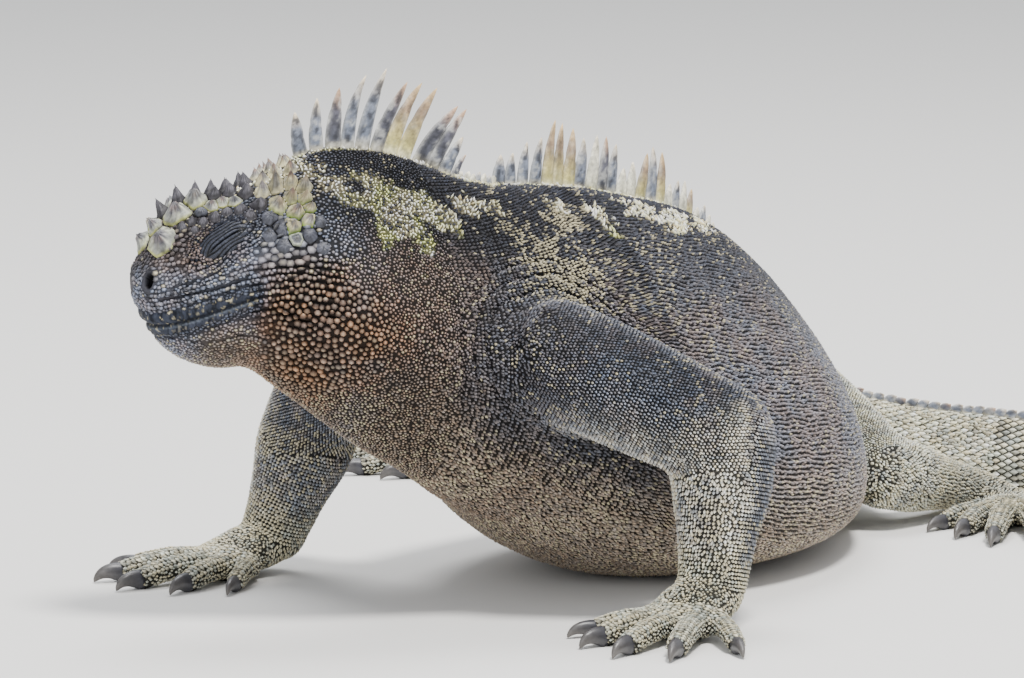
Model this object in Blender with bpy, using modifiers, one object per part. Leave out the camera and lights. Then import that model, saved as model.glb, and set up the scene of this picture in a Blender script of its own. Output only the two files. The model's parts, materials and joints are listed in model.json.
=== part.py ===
"""A life-size marine iguana, lying on its belly with its chest, neck and head raised.

The animal faces -X and its left side faces -Y. The origin is on the flat of the belly, where it
rests. Every size in the tables is in millimetres; MM turns it into Blender's metres.
"""

import math
import random

import bmesh
import bpy
import numpy as np
from mathutils import Matrix, Vector

MM = 0.001

# Lengths along the back, from the tip of the snout.
HEAD_END = 74.1
BELLY_MIDDLE = 243.0
TAIL_END = 948.0
JOINT_GAP = 0.36

# How the backbone runs in plan: distance behind the snout, and its heading from +X in degrees.
HEADINGS = (
    (0, -40), (58, -38), (98, -20), (131, -4), (183, 2), (243, 10), (283, 20), (310, 31),
    (335, 40), (370, 34), (403, -4), (440, -48), (490, -66), (560, -60), (700, -25), (820, 10),
    (948, 35),
)

# The body's cross-sections: distance behind the snout, height of the back, height of the belly,
# then the half widths low down, at the middle and high up.
SECTIONS = (
    (0, 127, 118, 3.5, 5, 3.5),
    (2, 130, 113, 7.5, 9.5, 6.5),
    (5, 136, 107, 10.5, 13, 9),
    (9, 143, 101, 13, 15.5, 10.5),
    (14, 148, 96.5, 15, 17.5, 12),
    (21, 151.5, 93, 17, 20.5, 14),
    (30, 153, 91, 19, 24, 16.5),
    (40, 156, 91, 20, 27, 18.5),
    (50, 161, 84, 18, 29.5, 19),
    (64, 167, 73, 17, 33, 18),
    (78, 168, 62, 18, 36, 17),
    (98, 164, 50, 22, 40, 18),
    (112, 158, 41, 27, 44, 21),
    (131, 152, 31, 34, 50, 26),
    (153, 150, 18, 42, 57, 31),
    (183, 146, 5, 55, 64, 37),
    (213, 140, -1, 62, 67, 38),
    (243, 133, -2.5, 63, 66, 36),
    (273, 121, -2.5, 58, 59, 31),
    (303, 107, -2.5, 48, 50, 26),
    (333, 91, -2, 38, 43, 23),
    (368, 71, -1.5, 27, 35, 19),
    (403, 51, -1.5, 18, 26, 14),
    (430, 41, -1.5, 13, 19, 10),
    (460, 34.5, -1.2, 11, 15.5, 8),
    (503, 31, -1.2, 9.5, 12.5, 6),
    (603, 27, -1, 7.5, 9.5, 4.2),
    (748, 20, -1, 5, 6.5, 2.8),
    (900, 8.5, -0.6, 2.4, 3, 1.4),
    (948, 3, -0.3, 0.9, 1.1, 0.6),
)
WIDTH_HEIGHTS = (0.12, 0.45, 0.82)

SIDES = {"left": -1.0, "right": 1.0}


def curve_through(table, at):
    """The table's columns at the given values of its first one, on a smooth curve."""
    table = np.asarray(table, float)
    x, y = table[:, 0], table[:, 1:]
    slope = np.gradient(y, x, axis=0)
    at = np.clip(np.atleast_1d(np.asarray(at, float)), x[0], x[-1])
    i = np.clip(np.searchsorted(x, at, side="right") - 1, 0, len(x) - 2)
    h = (x[i + 1] - x[i])[:, None]
    t = ((at - x[i]) / (x[i + 1] - x[i]))[:, None]
    return (
        (2 * t**3 - 3 * t**2 + 1) * y[i]
        + (t**3 - 2 * t**2 + t) * h * slope[i]
        + (3 * t**2 - 2 * t**3) * y[i + 1]
        + (t**3 - t**2) * h * slope[i + 1]
    )


def backbone():
    """Distances, plan points and unit headings along the backbone, one a millimetre."""
    s = np.arange(0.0, TAIL_END + 0.5, 1.0)
    angle = np.radians(curve_through(HEADINGS, s)[:, 0])
    step = np.stack([np.cos(angle), np.sin(angle)], axis=1)
    plan = np.concatenate([[[0.0, 0.0]], np.cumsum((step[1:] + step[:-1]) / 2, axis=0)])
    plan -= plan[int(BELLY_MIDDLE)]
    return s, plan, step


BACKBONE = backbone()


def on_backbone(s):
    """Plan point and unit heading of the backbone at a distance behind the snout."""
    distance, plan, step = BACKBONE
    point = np.array([np.interp(s, distance, plan[:, k]) for k in (0, 1)])
    way = np.array([np.interp(s, distance, step[:, k]) for k in (0, 1)])
    return point, way / np.linalg.norm(way)


def section_outline(back, belly, widths, count):
    """One closed cross-section as (sideways, height) points; the first is the top, then left."""
    keys = [(0.0, back)]
    keys += [(-w, belly + f * (back - belly)) for f, w in reversed(list(zip(WIDTH_HEIGHTS, widths)))]
    keys += [(0.0, belly)]
    keys += [(w, belly + f * (back - belly)) for f, w in zip(WIDTH_HEIGHTS, widths)]
    keys = np.array(keys)
    turn = np.arange(count) / count * len(keys)
    i = turn.astype(int)
    t = (turn - i)[:, None]
    p0, p1, p2, p3 = (keys[(i + k) % len(keys)] for k in (-1, 0, 1, 2))
    return 0.5 * (
        2 * p1 + (p2 - p0) * t + (2 * p0 - 5 * p1 + 4 * p2 - p3) * t**2
        + (3 * p1 - p0 - 3 * p2 + p3) * t**3
    )


def body_ring(s, count):
    """The body's cross-section at s, as points in space, in millimetres."""
    back, belly, *widths = curve_through(SECTIONS, s)[0]
    outline = section_outline(back, belly, widths, count)
    point, way = on_backbone(s)
    across = np.array([-way[1], way[0]])
    plan = point + outline[:, :1] * across
    return np.column_stack([plan, outline[:, 1]])


def new_object(name, mesh, collection):
    """A linked object for a mesh."""
    made = bpy.data.objects.new(name, mesh)
    collection.objects.link(made)
    return made


def loft(name, rings, collection):
    """A closed surface through rings of equal count, each end closed by a fan, in metres."""
    shape = bmesh.new()
    rows = [[shape.verts.new(Vector(p) * MM) for p in ring] for ring in rings]
    for a, b in zip(rows, rows[1:]):
        for k in range(len(a)):
            n = (k + 1) % len(a)
            shape.faces.new((a[k], a[n], b[n], b[k]))
    for row in (rows[0], rows[-1]):
        middle = shape.verts.new(sum((v.co for v in row), Vector()) / len(row))
        for k in range(len(row)):
            shape.faces.new((row[k], row[(k + 1) % len(row)], middle))
    bmesh.ops.recalc_face_normals(shape, faces=shape.faces)
    mesh = bpy.data.meshes.new(name)
    shape.to_mesh(mesh)
    shape.free()
    return new_object(name, mesh, collection)


def frame_along(way, up):
    """Unit vectors along, sideways and up for a ring across a path."""
    way = np.asarray(way, float)
    way = way / np.linalg.norm(way)
    side = np.cross(up, way)
    side /= np.linalg.norm(side)
    return way, side, np.cross(way, side)


def path_rings(path, half_sizes, count, up=(0, 0, 1)):
    """Rings across a path of points; half_sizes has the (sideways, upward) radii at each."""
    path = np.asarray(path, float)
    ways = np.gradient(path, axis=0)
    angle = np.arange(count) / count * 2 * math.pi
    rings = []
    for point, way, (a, b) in zip(path, ways, half_sizes):
        _, side, top = frame_along(way, np.asarray(up, float))
        rings.append(point + np.outer(np.cos(angle) * a, side) + np.outer(np.sin(angle) * b, top))
    return rings


def rounded_limb(name, start, end, profile, collection, up, count=16, steps=11):
    """A fleshy length of limb between two joints, with rounded ends.

    The profile gives the (sideways, upward) radii at shares of the way from start to end.
    """
    start, end = np.asarray(start, float), np.asarray(end, float)
    length = np.linalg.norm(end - start)
    reach = [np.mean(row[1:]) / length * 0.9 for row in (profile[0], profile[-1])]
    share = np.linspace(-reach[0], 1 + reach[1], steps)
    sizes = curve_through(profile, np.clip(share, 0, 1))
    past = np.maximum(-share / reach[0], (share - 1) / reach[1]).clip(0, 0.97)
    sizes = sizes * np.sqrt(1 - past**2)[:, None]
    path = start + share[:, None] * (end - start)
    return loft(name, path_rings(path, sizes, count, up), collection)


# The joints of the legs, by side: shoulder, elbow, wrist, then hip, knee, ankle.
ARMS = {
    "left": ((-121, -50, 94), (-84, -97, 66), (-95, -100, 15)),
    "right": ((-112, 38, 100), (-105, 80, 61), (-112, 96, 15)),
}
LEGS = {
    "left": ((136, 50, 38), (106, -19, 22), (161, -16, 9)),
    "right": ((118, 84, 42), (78, 126, 26), (128, 166, 10)),
}
# Share of the way between two joints, then the radii sideways and upward.
UPPER_ARM = ((0, 21, 21), (0.35, 20, 21), (0.7, 18, 20), (1, 18, 18.5))
FOREARM = ((0, 18, 18), (0.3, 19, 16.5), (0.7, 15, 12.5), (1, 13, 10.3))
THIGH = ((0, 22, 22), (0.4, 20, 20), (0.75, 16, 17), (1, 13.5, 15))
SHIN = ((0, 13, 14), (0.3, 13.5, 14), (0.7, 10.5, 10.5), (1, 10, 8.5))

# Where slabs part the flesh: a point, the way across the cut, and the slab's half width.
ARM_CUTS = {"left": 0.68, "right": 0.66}
THIGH_CUTS = {"right": 0.6}
SHIN_CUTS = {"left": 0.66, "right": 0.5}
END_CUT = 0.94
NECK_CUT = (101.4, -5.0, 95.0)
TAIL_CUTS = (433.0, 505.0, 600.0, 705.0, 820.0)
TAIL_CUT_HALF = (34.0, 24.0, 24.0, 20.0, 16.0)

VOXEL = 2.5
FLESH_FACES = 3300


def between(a, b, share):
    a, b = np.asarray(a, float), np.asarray(b, float)
    return a + (b - a) * share


def slab(name, point, way, half, collection):
    """A thin square box across a way, which parts the flesh and leaves the joint's gap."""
    _, side, top = frame_along(way, np.array([0.0, 0.0, 1.0]) if abs(way[2]) < 0.8 * np.linalg.norm(way)
                               else np.array([0.0, 1.0, 0.0]))
    way = np.asarray(way, float) / np.linalg.norm(way)
    rings = []
    for shift in (-JOINT_GAP / 2, JOINT_GAP / 2):
        rings.append([np.asarray(point) + way * shift + side * a * half + top * b * half
                      for a, b in ((-1, -1), (1, -1), (1, 1), (-1, 1))])
    made = loft(name, rings, collection)
    hide(made)
    return made


def hide(thing):
    thing.hide_render = True
    thing.display_type = "WIRE"


def applied(thing):
    """Replace an object's mesh with the one its modifiers make, and clear them."""
    graph = bpy.context.evaluated_depsgraph_get()
    mesh = bpy.data.meshes.new_from_object(thing.evaluated_get(graph), depsgraph=graph)
    old = thing.data
    thing.modifiers.clear()
    thing.data = mesh
    bpy.data.meshes.remove(old)
    return thing


def removed(things):
    for thing in list(things):
        mesh = thing.data
        bpy.data.objects.remove(thing)
        bpy.data.meshes.remove(mesh)


def with_collection(thing, pieces, operation):
    """One Boolean of an object with all the pieces of a collection."""
    step = thing.modifiers.new("pieces", "BOOLEAN")
    step.operation = operation
    step.operand_type = "COLLECTION"
    step.collection = pieces
    step.solver = "MANIFOLD"
    applied(thing)
    removed(pieces.objects)
    return thing


def collection_named(name):
    made = bpy.data.collections.new(name)
    bpy.context.scene.collection.children.link(made)
    return made


def loose_parts(thing):
    """The closed surfaces of an object, as lists of triangles' corner points, in millimetres."""
    shape = bmesh.new()
    shape.from_mesh(thing.data)
    bmesh.ops.triangulate(shape, faces=shape.faces)
    seen = set()
    parts = []
    for first in shape.verts:
        if first.index in seen or not first.link_faces:
            continue
        stack, own = [first], set()
        seen.add(first.index)
        while stack:
            vertex = stack.pop()
            own.add(vertex.index)
            for edge in vertex.link_edges:
                other = edge.other_vert(vertex)
                if other.index not in seen:
                    seen.add(other.index)
                    stack.append(other)
        parts.append(own)
    shape.verts.ensure_lookup_table()
    made = []
    for own in parts:
        order = sorted(own)
        number = {v: k for k, v in enumerate(order)}
        points = [tuple(shape.verts[v].co) for v in order]
        faces = [[number[v.index] for v in f.verts] for f in shape.faces if f.verts[0].index in own]
        made.append((np.array(points), faces))
    shape.free()
    return made


def volume_and_middle(points, faces):
    tri = points[np.array(faces)]
    cone = np.einsum("ij,ij->i", tri[:, 0], np.cross(tri[:, 1], tri[:, 2])) / 6
    middle = (tri.sum(axis=1) / 4 * cone[:, None]).sum(axis=0) / cone.sum()
    return cone.sum(), middle


def node_from(name, points, faces, collection):
    mesh = bpy.data.meshes.new(name)
    mesh.from_pydata([tuple(p) for p in points], [], faces)
    mesh.update()
    return new_object(name, mesh, collection)


def largest_surface(thing, collection):
    """The object again with only its largest closed surface."""
    best = max(loose_parts(thing), key=lambda part: volume_and_middle(*part)[0])
    name = thing.name
    removed([thing])
    return node_from(name, *best, collection)


def below_floor(collection, floor=0.0):
    """A block whose top is the floor."""
    ring = [(-500, -500), (900, -500), (900, 500), (-500, 500)]
    made = loft("floor_block", [[(x, y, z) for x, y in ring] for z in (-60, floor)], collection)
    hide(made)
    return made


def flesh(helpers):
    """Trunk, tail and legs as one closed surface, blended where they meet."""
    rows = np.concatenate([
        np.arange(HEAD_END - 12, 420, 7.0), np.arange(420, TAIL_END, 9.0), [TAIL_END],
    ])
    pieces = [loft("trunk", [body_ring(s, 40) for s in rows], helpers)]
    for side in SIDES:
        shoulder, elbow, wrist = ARMS[side]
        pieces.append(rounded_limb("a", shoulder, elbow, UPPER_ARM, helpers, (0, 0, 1)))
        pieces.append(rounded_limb("b", elbow, wrist, FOREARM, helpers, (1, 0, 0)))
        hip, knee, ankle = LEGS[side]
        pieces.append(rounded_limb("c", hip, knee, THIGH, helpers, (0, 0, 1)))
        pieces.append(rounded_limb("d", knee, ankle, SHIN, helpers, (0, 0, 1)))
    shape = bmesh.new()
    for piece in pieces:
        shape.from_mesh(piece.data)
    mesh = bpy.data.meshes.new("flesh")
    shape.to_mesh(mesh)
    shape.free()
    removed(pieces)
    body = new_object("flesh", mesh, helpers)
    step = body.modifiers.new("one_surface", "REMESH")
    step.mode = "VOXEL"
    step.voxel_size = VOXEL * MM
    step = body.modifiers.new("smooth", "SMOOTH")
    step.factor = 0.5
    step.iterations = 7
    applied(body)
    step = body.modifiers.new("fewer", "DECIMATE")
    step.ratio = FLESH_FACES / (2 * len(body.data.polygons))
    return applied(body)


def parted_flesh(helpers, nodes):
    """The flesh in nodes, parted by slabs, standing on the floor."""
    body = flesh(helpers)
    cuts = collection_named("cuts")
    below_floor(cuts)
    labels = {}
    point, way = on_backbone(HEAD_END)
    height = 0.5 * sum(curve_through(SECTIONS, HEAD_END)[0][:2])
    slab("s", (*point, height), (*way, 0), 62, cuts)
    labels["front"] = (*on_backbone(HEAD_END - 6)[0], height)
    labels["neck"] = (*on_backbone(88)[0], 110)
    distance, heading, half = NECK_CUT
    angle = math.radians(heading)
    slab("s", (*on_backbone(distance)[0], 100), (math.cos(angle), math.sin(angle), 0), half, cuts)
    labels["torso"] = (*on_backbone(240)[0], 62)
    for k, (s, half) in enumerate(zip(TAIL_CUTS, TAIL_CUT_HALF)):
        point, way = on_backbone(s)
        back, belly = curve_through(SECTIONS, s)[0][:2]
        slab("s", (*point, (back + belly) / 2), (*way, 0), half, cuts)
        ends = (*TAIL_CUTS, TAIL_END)
        middle = (s + ends[k + 1]) / 2
        labels[f"tail_{k + 1}"] = (*on_backbone(middle)[0], 12)
    for side in SIDES:
        arm, leg = ARMS[side], LEGS[side]
        slab("s", between(arm[0], arm[1], ARM_CUTS[side]), np.subtract(arm[1], arm[0]), 24, cuts)
        slab("s", between(leg[1], leg[2], SHIN_CUTS[side]), np.subtract(leg[2], leg[1]), 19, cuts)
        if side in THIGH_CUTS:
            slab("s", between(leg[0], leg[1], THIGH_CUTS[side]), np.subtract(leg[1], leg[0]), 24, cuts)
            labels[f"thigh_{side}"] = between(leg[0], leg[1], 0.95)
        labels[f"arm_{side}"] = between(arm[1], arm[2], 0.3)
        labels[f"shin_{side}"] = between(leg[1], leg[2], (END_CUT + SHIN_CUTS[side]) / 2)
        for name, joints, half in (("arm", arm, 24), ("shin", leg, 19)):
            slab("s", between(joints[1], joints[2], END_CUT), np.subtract(joints[2], joints[1]), half, cuts)
            labels[f"end_{name}_{side}"] = between(joints[1], joints[2], 1.06)
    with_collection(body, cuts, "DIFFERENCE")
    found = {}
    for points, faces in loose_parts(body):
        if len(faces) < 20:
            continue
        size, middle = volume_and_middle(points, faces)
        name = min(labels, key=lambda n: np.linalg.norm(middle / MM - np.asarray(labels[n])))
        if name not in found or size > found[name][0]:
            found[name] = (size, points, faces)
    removed([body])
    return {
        name: node_from(name, points, faces, nodes)
        for name, (_, points, faces) in found.items()
        if name != "front" and not name.startswith("end_")
    }


# The hands and feet: lengths of the digits without their claws, and their headings from the
# limb's own forward way, turning towards the outer side.
HAND = {
    "palm": 14, "width": 15, "thick": 7.5,
    "digits": ((17, -38), (25, -18), (31, 0), (31, 17), (22, 42)),
    "thickness": 4.7,
}
FOOT = {
    "palm": 26, "width": 13, "thick": 6.5,
    "digits": ((17, -36), (27, -19), (39, -6), (50, 8), (28, 40)),
    "thickness": 4.6,
}
HAND_HEADINGS = {"left": 190.0, "right": 170.0}
FOOT_HEADINGS = {"left": 216.0, "right": 140.0}
CLAW_LENGTH = {"hand": 12.0, "foot": 12.0}


def plan_way(degrees):
    return np.array([math.cos(math.radians(degrees)), math.sin(math.radians(degrees)), 0.0])


def digit_path(root, way, length, rest, steps=5):
    """Points of a digit that arches a little over the floor and comes down to rest on it."""
    share = np.linspace(0, 1, steps)
    arch = np.sin(share * math.pi) * length * 0.05
    height = root[2] + (rest - root[2]) * share**0.8 + arch
    return np.column_stack([root[0] + way[0] * length * share, root[1] + way[1] * length * share, height])


def turned(vector, axis, angle):
    """A vector turned about a unit axis."""
    return (vector * math.cos(angle) + np.cross(axis, vector) * math.sin(angle)
            + axis * np.dot(axis, vector) * (1 - math.cos(angle)))


def bent_joint(start, way_in, ahead, radii_in, radii_out, count=4):
    """Centres, ways, side and top vectors and radii of rings that turn about a joint's inside."""
    across = np.array([-ahead[1], ahead[0], 0.0])
    up = np.cross(ahead, across)
    axis = np.cross(way_in, ahead)
    axis /= np.linalg.norm(axis)
    whole = math.acos(float(np.clip(np.dot(way_in, ahead), -1, 1)))
    inner = ahead - way_in * np.dot(ahead, way_in)
    inner /= np.linalg.norm(inner)
    made = []
    pivot = None
    for k in range(count):
        share = k / (count - 1)
        angle = whole * share
        side = turned(across, axis, angle - whole)
        top = turned(up, axis, angle - whole)
        facing = turned(inner, axis, angle)
        a, b = (radii_in[j] + (radii_out[j] - radii_in[j]) * share for j in (0, 1))
        reach = math.hypot(a * np.dot(facing, side), b * np.dot(facing, top))
        way = turned(way_in, axis, angle)
        if pivot is None:
            pivot = start + facing * reach
        else:
            pivot = pivot + way * 0.9
        made.append((pivot - facing * reach, way, side, top, a, b))
    return made


def paw(kind, side, joint, wrist_radii, heading, shape, helpers, nodes):
    """A hand or a foot with its five digits, and the five claws beyond them."""
    turn = SIDES[side]
    ahead = plan_way(heading)
    across = np.array([-ahead[1], ahead[0], 0.0])
    up = np.array([0.0, 0.0, 1.0])
    _, knuckle_before, wrist = joint
    way_in = np.subtract(wrist, knuckle_before)
    way_in = way_in / np.linalg.norm(way_in)
    start = between(knuckle_before, wrist, END_CUT) + way_in * JOINT_GAP / 2
    wide, thick = shape["width"], shape["thick"]
    sole = thick * 0.86 - 0.8
    bend = bent_joint(start, way_in, ahead, wrist_radii, (wide * 0.94, thick * 1.1))
    past = bend[-1][0]
    knuckles = past + ahead * shape["palm"]
    knuckles[2] = sole
    middle = past + ahead * shape["palm"] * 0.5
    middle[2] = (past[2] + sole) / 2
    for centre, a, b in (
        (middle, wide * 0.98, thick),
        (knuckles, wide * 1.06, thick * 0.86),
        (knuckles + ahead * 4.5 - up * 0.6, wide * 0.88, thick * 0.6),
    ):
        bend.append((centre, ahead, across, up, a, b))
    angle = np.arange(12) / 12 * 2 * math.pi
    rings = [
        centre + np.outer(np.cos(angle) * a, side_way) + np.outer(np.sin(angle) * b, top)
        for centre, _, side_way, top, a, b in bend
    ]
    palm = loft(f"{kind}_{side}", rings, helpers)
    pieces = collection_named("digits")
    radius = shape["thickness"]
    for number, (length, spread) in enumerate(shape["digits"], 1):
        way = plan_way(heading - turn * spread)
        place = -turn * (number - 3) / 2 * shape["width"] * 0.86
        root = knuckles + across * place - ahead * (3 + 2.2 * abs(number - 3))
        root[2] = sole
        full = length + 6.0
        thick = radius * (0.86 if number in (1, 5) else 1.0)
        path = digit_path(root, way, full, thick * 0.84 - 0.4)
        swell = (1.12, 1.02, 0.95, 1.0, 0.84)
        rings = path_rings(path, [(thick * f, thick * f) for f in swell], 6)
        rings[-1] = path_rings([path[-1] - way, path[-1], path[-1] + way], [(thick * swell[-1],) * 2] * 3, 6)[1]
        loft(f"digit_{number}", rings, pieces)
        hide(pieces.objects[-1])
        end = path[-1]
        claw(f"claw_{kind}_{side}_{number}", end, way, thick * 0.84, CLAW_LENGTH[kind], nodes)
    with_collection(palm, pieces, "UNION")
    block = collection_named("block")
    below_floor(block)
    with_collection(palm, block, "DIFFERENCE")
    largest_surface(palm, nodes)


def claw(name, end, way, radius, length, nodes, steps=4):
    """A curved claw whose root stands off the digit's end by the joint's gap."""
    start = end + way * JOINT_GAP
    rise = start[2] - 0.5
    bend = math.radians(74)
    rings = []
    for k in range(steps):
        share = k / (steps - 1)
        turn = bend * share
        forward = length * 0.8 * math.sin(turn) / math.sin(bend)
        drop = (1 - math.cos(turn)) / (1 - math.cos(bend)) * rise
        centre = start + way * forward + np.array([0, 0, 0.9 * math.sin(share * math.pi) - drop])
        lean = turn * 0.75
        axis = way * math.cos(lean) - np.array([0, 0, math.sin(lean)])
        side = np.array([-way[1], way[0], 0.0])
        top = np.cross(axis, side)
        size = radius * (0.93 * (1 - share) ** 0.75 + 0.06)
        angle = np.arange(6) / 6 * 2 * math.pi + math.pi / 6
        ring = centre + np.outer(np.cos(angle) * size * 0.72, side) + np.outer(np.sin(angle) * size, top)
        ring[:, 2] = np.maximum(ring[:, 2], 0.0 if k == steps - 1 else 0.02)
        rings.append(ring)
    loft(name, rings, nodes)


def skin_at(s, height, side):
    """Point and outward normal of the body's surface at a height, on one side, in millimetres."""
    def place(at, up):
        back, belly, *widths = curve_through(SECTIONS, at)[0]
        outline = section_outline(back, belly, widths, 240)[:121]
        order = np.argsort(outline[:, 1])
        wide = np.interp(up, outline[order, 1], -outline[order, 0])
        point, way = on_backbone(at)
        across = np.array([-way[1], way[0]]) * side
        return np.array([*(point + across * wide), up])

    here = place(s, height)
    along = place(s + 1.0, height) - place(max(s - 1.0, 0.3), height)
    upward = place(s, height + 1.0) - place(s, height - 1.0)
    normal = np.cross(upward, along) * side
    return here, normal / np.linalg.norm(normal)


def top_at(s, turn):
    """Point and normal of the upper surface; turn goes from -1 (left) over the top to 1 (right)."""
    back, belly, *widths = curve_through(SECTIONS, s)[0]

    def place(at, angle):
        sizes = curve_through(SECTIONS, at)[0]
        outline = section_outline(sizes[0], sizes[1], sizes[2:], 256)
        index = (-angle * 64) % 256
        low = int(index)
        spot = outline[low] * (1 - index + low) + outline[(low + 1) % 256] * (index - low)
        point, way = on_backbone(at)
        across = np.array([-way[1], way[0]])
        return np.array([*(point + across * spot[0]), spot[1]])

    here = place(s, turn)
    along = place(s + 1.0, turn) - place(max(s - 1.0, 0.3), turn)
    over = place(s, turn + 0.04) - place(s, turn - 0.04)
    normal = np.cross(along, over)
    return here, normal / np.linalg.norm(normal)


# The head's forms, by distance behind the snout and height.
MOUTH = ((3.6, 107.3), (8, 107.6), (15, 109.3), (21, 111.2), (27, 113.4), (34, 116), (39, 117.8), (43.5, 119))
NOSTRIL = (5.4, 123.6)
EYE = (31.5, 138.6)
EAR = (61.5, 136.5)
EYE_SIZE = (9.4, 5.6, 3.6)
EYE_SLANT = math.radians(24)

# The crest, row by row: the first spine's distance behind the snout, the spacing, the length and
# thickness of a spine's foot, the lean of the first and the last one in degrees, their heights.
CREST = (
    (60.5, 5.45, 4.6, 2.6, 12, 14, (15, 18, 21, 26, 29, 26, 27, 27, 25, 25, 15)),
    (119.5, 2.75, 2.5, 2.0, 14, 10, (9, 3, 3.5, 2.8, 4, 4.5, 3.5, 4.5)),
    (141.5, 6.3, 5.2, 2.5, 6, -2,
     (10.5, 11, 15, 17, 23.5, 22.5, 21, 18, 20, 20, 18, 10, 13, 17, 20, 19)),
    (242.0, 5.5, 4.6, 2.3, -2, 4, (8.5, 11, 12.5, 11, 7, 9, 7.5, 6, 5)),
    (292.0, 6.8, 4.8, 2.2, 10, 35, (5,) * 20),
    (440.0, 12.0, 7.0, 2.2, 50, 50, tuple(4.6 - 0.055 * k for k in range(41))),
)

# The conical scales of the casque: where a field starts and ends behind the snout, how far it
# reaches over the side (0 the midline, 1 halfway down), then the spacing, radius and height.
CASQUE = (
    (3.5, 22, 0.0, 0.60, 6.6, 3.5, 3.5),
    (22, 41, 0.0, 0.42, 7.0, 3.0, 2.6),
    (24, 41, 0.42, 0.66, 6.2, 2.7, 2.9),
    (41, 63, 0.0, 0.24, 6.8, 3.0, 3.6),
    (41, 62, 0.24, 0.70, 6.6, 3.3, 5.4),
    (63, 72, 0.18, 0.46, 6.6, 2.6, 2.8),
)
SEED = 5


def crest_spines():
    """Every spine as (distance, height, lean, foot length, thickness)."""
    made = []
    for start, spacing, foot, thick, lean_a, lean_b, heights in CREST:
        for k, tall in enumerate(heights):
            share = k / (len(heights) - 1)
            made.append((start + spacing * k, tall, lean_a + (lean_b - lean_a) * share, foot, thick))
    return made


def spine(name, s, tall, lean, foot, thick, collection):
    """One flattened spine of the crest, curving back, with its root sunk in the flesh."""
    point, way = on_backbone(s)
    back = curve_through(SECTIONS, [s - 2, s, s + 2])[:, 0]
    along = np.array([*way, (back[2] - back[0]) / 4])
    along /= np.linalg.norm(along)
    across = np.array([-way[1], way[0], 0.0])
    up = np.cross(along, across)
    up *= np.sign(up[2])
    base = np.array([*point, back[1]])
    rings = []
    levels = ((-0.0, 1.0, 0.3), (0.5, 0.62, 0.6)) if tall > 6 else ((0.0, 0.9, 0.4),)
    rings.append((base - np.array([0, 0, 3.4]), 1.0))
    for share, size, bend in levels:
        angle = math.radians(lean * bend)
        rings.append((base + (up * math.cos(angle) + along * math.sin(angle)) * tall * share, size))
    angle = math.radians(lean)
    tip = base + (up * math.cos(angle) + along * math.sin(angle)) * tall
    shape = bmesh.new()
    rows = []
    for centre, size in rings:
        corners = ((foot / 2, 0), (0, thick / 2), (-foot / 2, 0), (0, -thick / 2))
        rows.append([shape.verts.new(Vector(centre + along * a * size + across * b * size) * MM)
                     for a, b in corners])
    point = shape.verts.new(Vector(tip) * MM)
    for lower, upper in zip(rows, rows[1:]):
        for k in range(4):
            n = (k + 1) % 4
            shape.faces.new((lower[k], lower[n], upper[n], upper[k]))
    for k in range(4):
        shape.faces.new((rows[-1][k], rows[-1][(k + 1) % 4], point))
    shape.faces.new(rows[0])
    bmesh.ops.recalc_face_normals(shape, faces=shape.faces)
    mesh = bpy.data.meshes.new(name)
    shape.to_mesh(mesh)
    shape.free()
    hide(new_object(name, mesh, collection))


def casque_places():
    """Every conical scale of the casque as (point, normal, radius, height)."""
    draw = random.Random(SEED)
    made = []
    for s_from, s_to, turn_from, turn_to, spacing, radius, tall in CASQUE:
        rows = max(2, round((s_to - s_from) / (spacing * 0.87)))
        for row in range(rows):
            s = s_from + (row + 0.5) * (s_to - s_from) / rows
            spots = [top_at(s, t)[0] for t in np.linspace(turn_from, turn_to, 9)]
            length = sum(np.linalg.norm(b - a) for a, b in zip(spots, spots[1:]))
            count = max(1, round(length / spacing))
            for k in range(count):
                shift = 0.5 if row % 2 else (0.0 if turn_from == 0 else 0.25)
                turn = turn_from + (k + shift) / count * (turn_to - turn_from)
                for side in ((1, -1) if turn > 0.02 else (1,)):
                    jog = draw.uniform(-0.5, 0.5)
                    point, normal = top_at(s + jog, turn * side)
                    size = draw.uniform(0.85, 1.15)
                    made.append((point, normal, radius * size, tall * size * draw.uniform(0.8, 1.2)))
    return made


def cone_scale(name, point, normal, radius, tall, turn, collection, sides=5):
    """A conical scale set into the skin."""
    side = np.cross(normal, np.array([0.3, 0.1, 1.0]))
    side /= np.linalg.norm(side)
    other = np.cross(normal, side)
    angle = np.arange(sides) / sides * 2 * math.pi + turn
    ring = point - normal * 1.3 + np.outer(np.cos(angle), side) * radius + np.outer(np.sin(angle), other) * radius
    shape = bmesh.new()
    corners = [shape.verts.new(Vector(p) * MM) for p in ring]
    tip = shape.verts.new(Vector(point + normal * tall + np.array([0, 0, tall * 0.12])) * MM)
    for k in range(sides):
        shape.faces.new((corners[k], corners[(k + 1) % sides], tip))
    shape.faces.new(corners)
    bmesh.ops.recalc_face_normals(shape, faces=shape.faces)
    mesh = bpy.data.meshes.new(name)
    shape.to_mesh(mesh)
    shape.free()
    hide(new_object(name, mesh, collection))


def turned_axes(normal, forward, slant):
    """In-plane long axis, in-plane short axis and normal; the long one slants upward."""
    flat = forward - normal * np.dot(forward, normal)
    flat /= np.linalg.norm(flat)
    upward = np.cross(normal, flat)
    if upward[2] < 0:
        upward = -upward
    long = flat * math.cos(slant) + upward * math.sin(slant)
    short = upward * math.cos(slant) - flat * math.sin(slant)
    return long, short, normal


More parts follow.
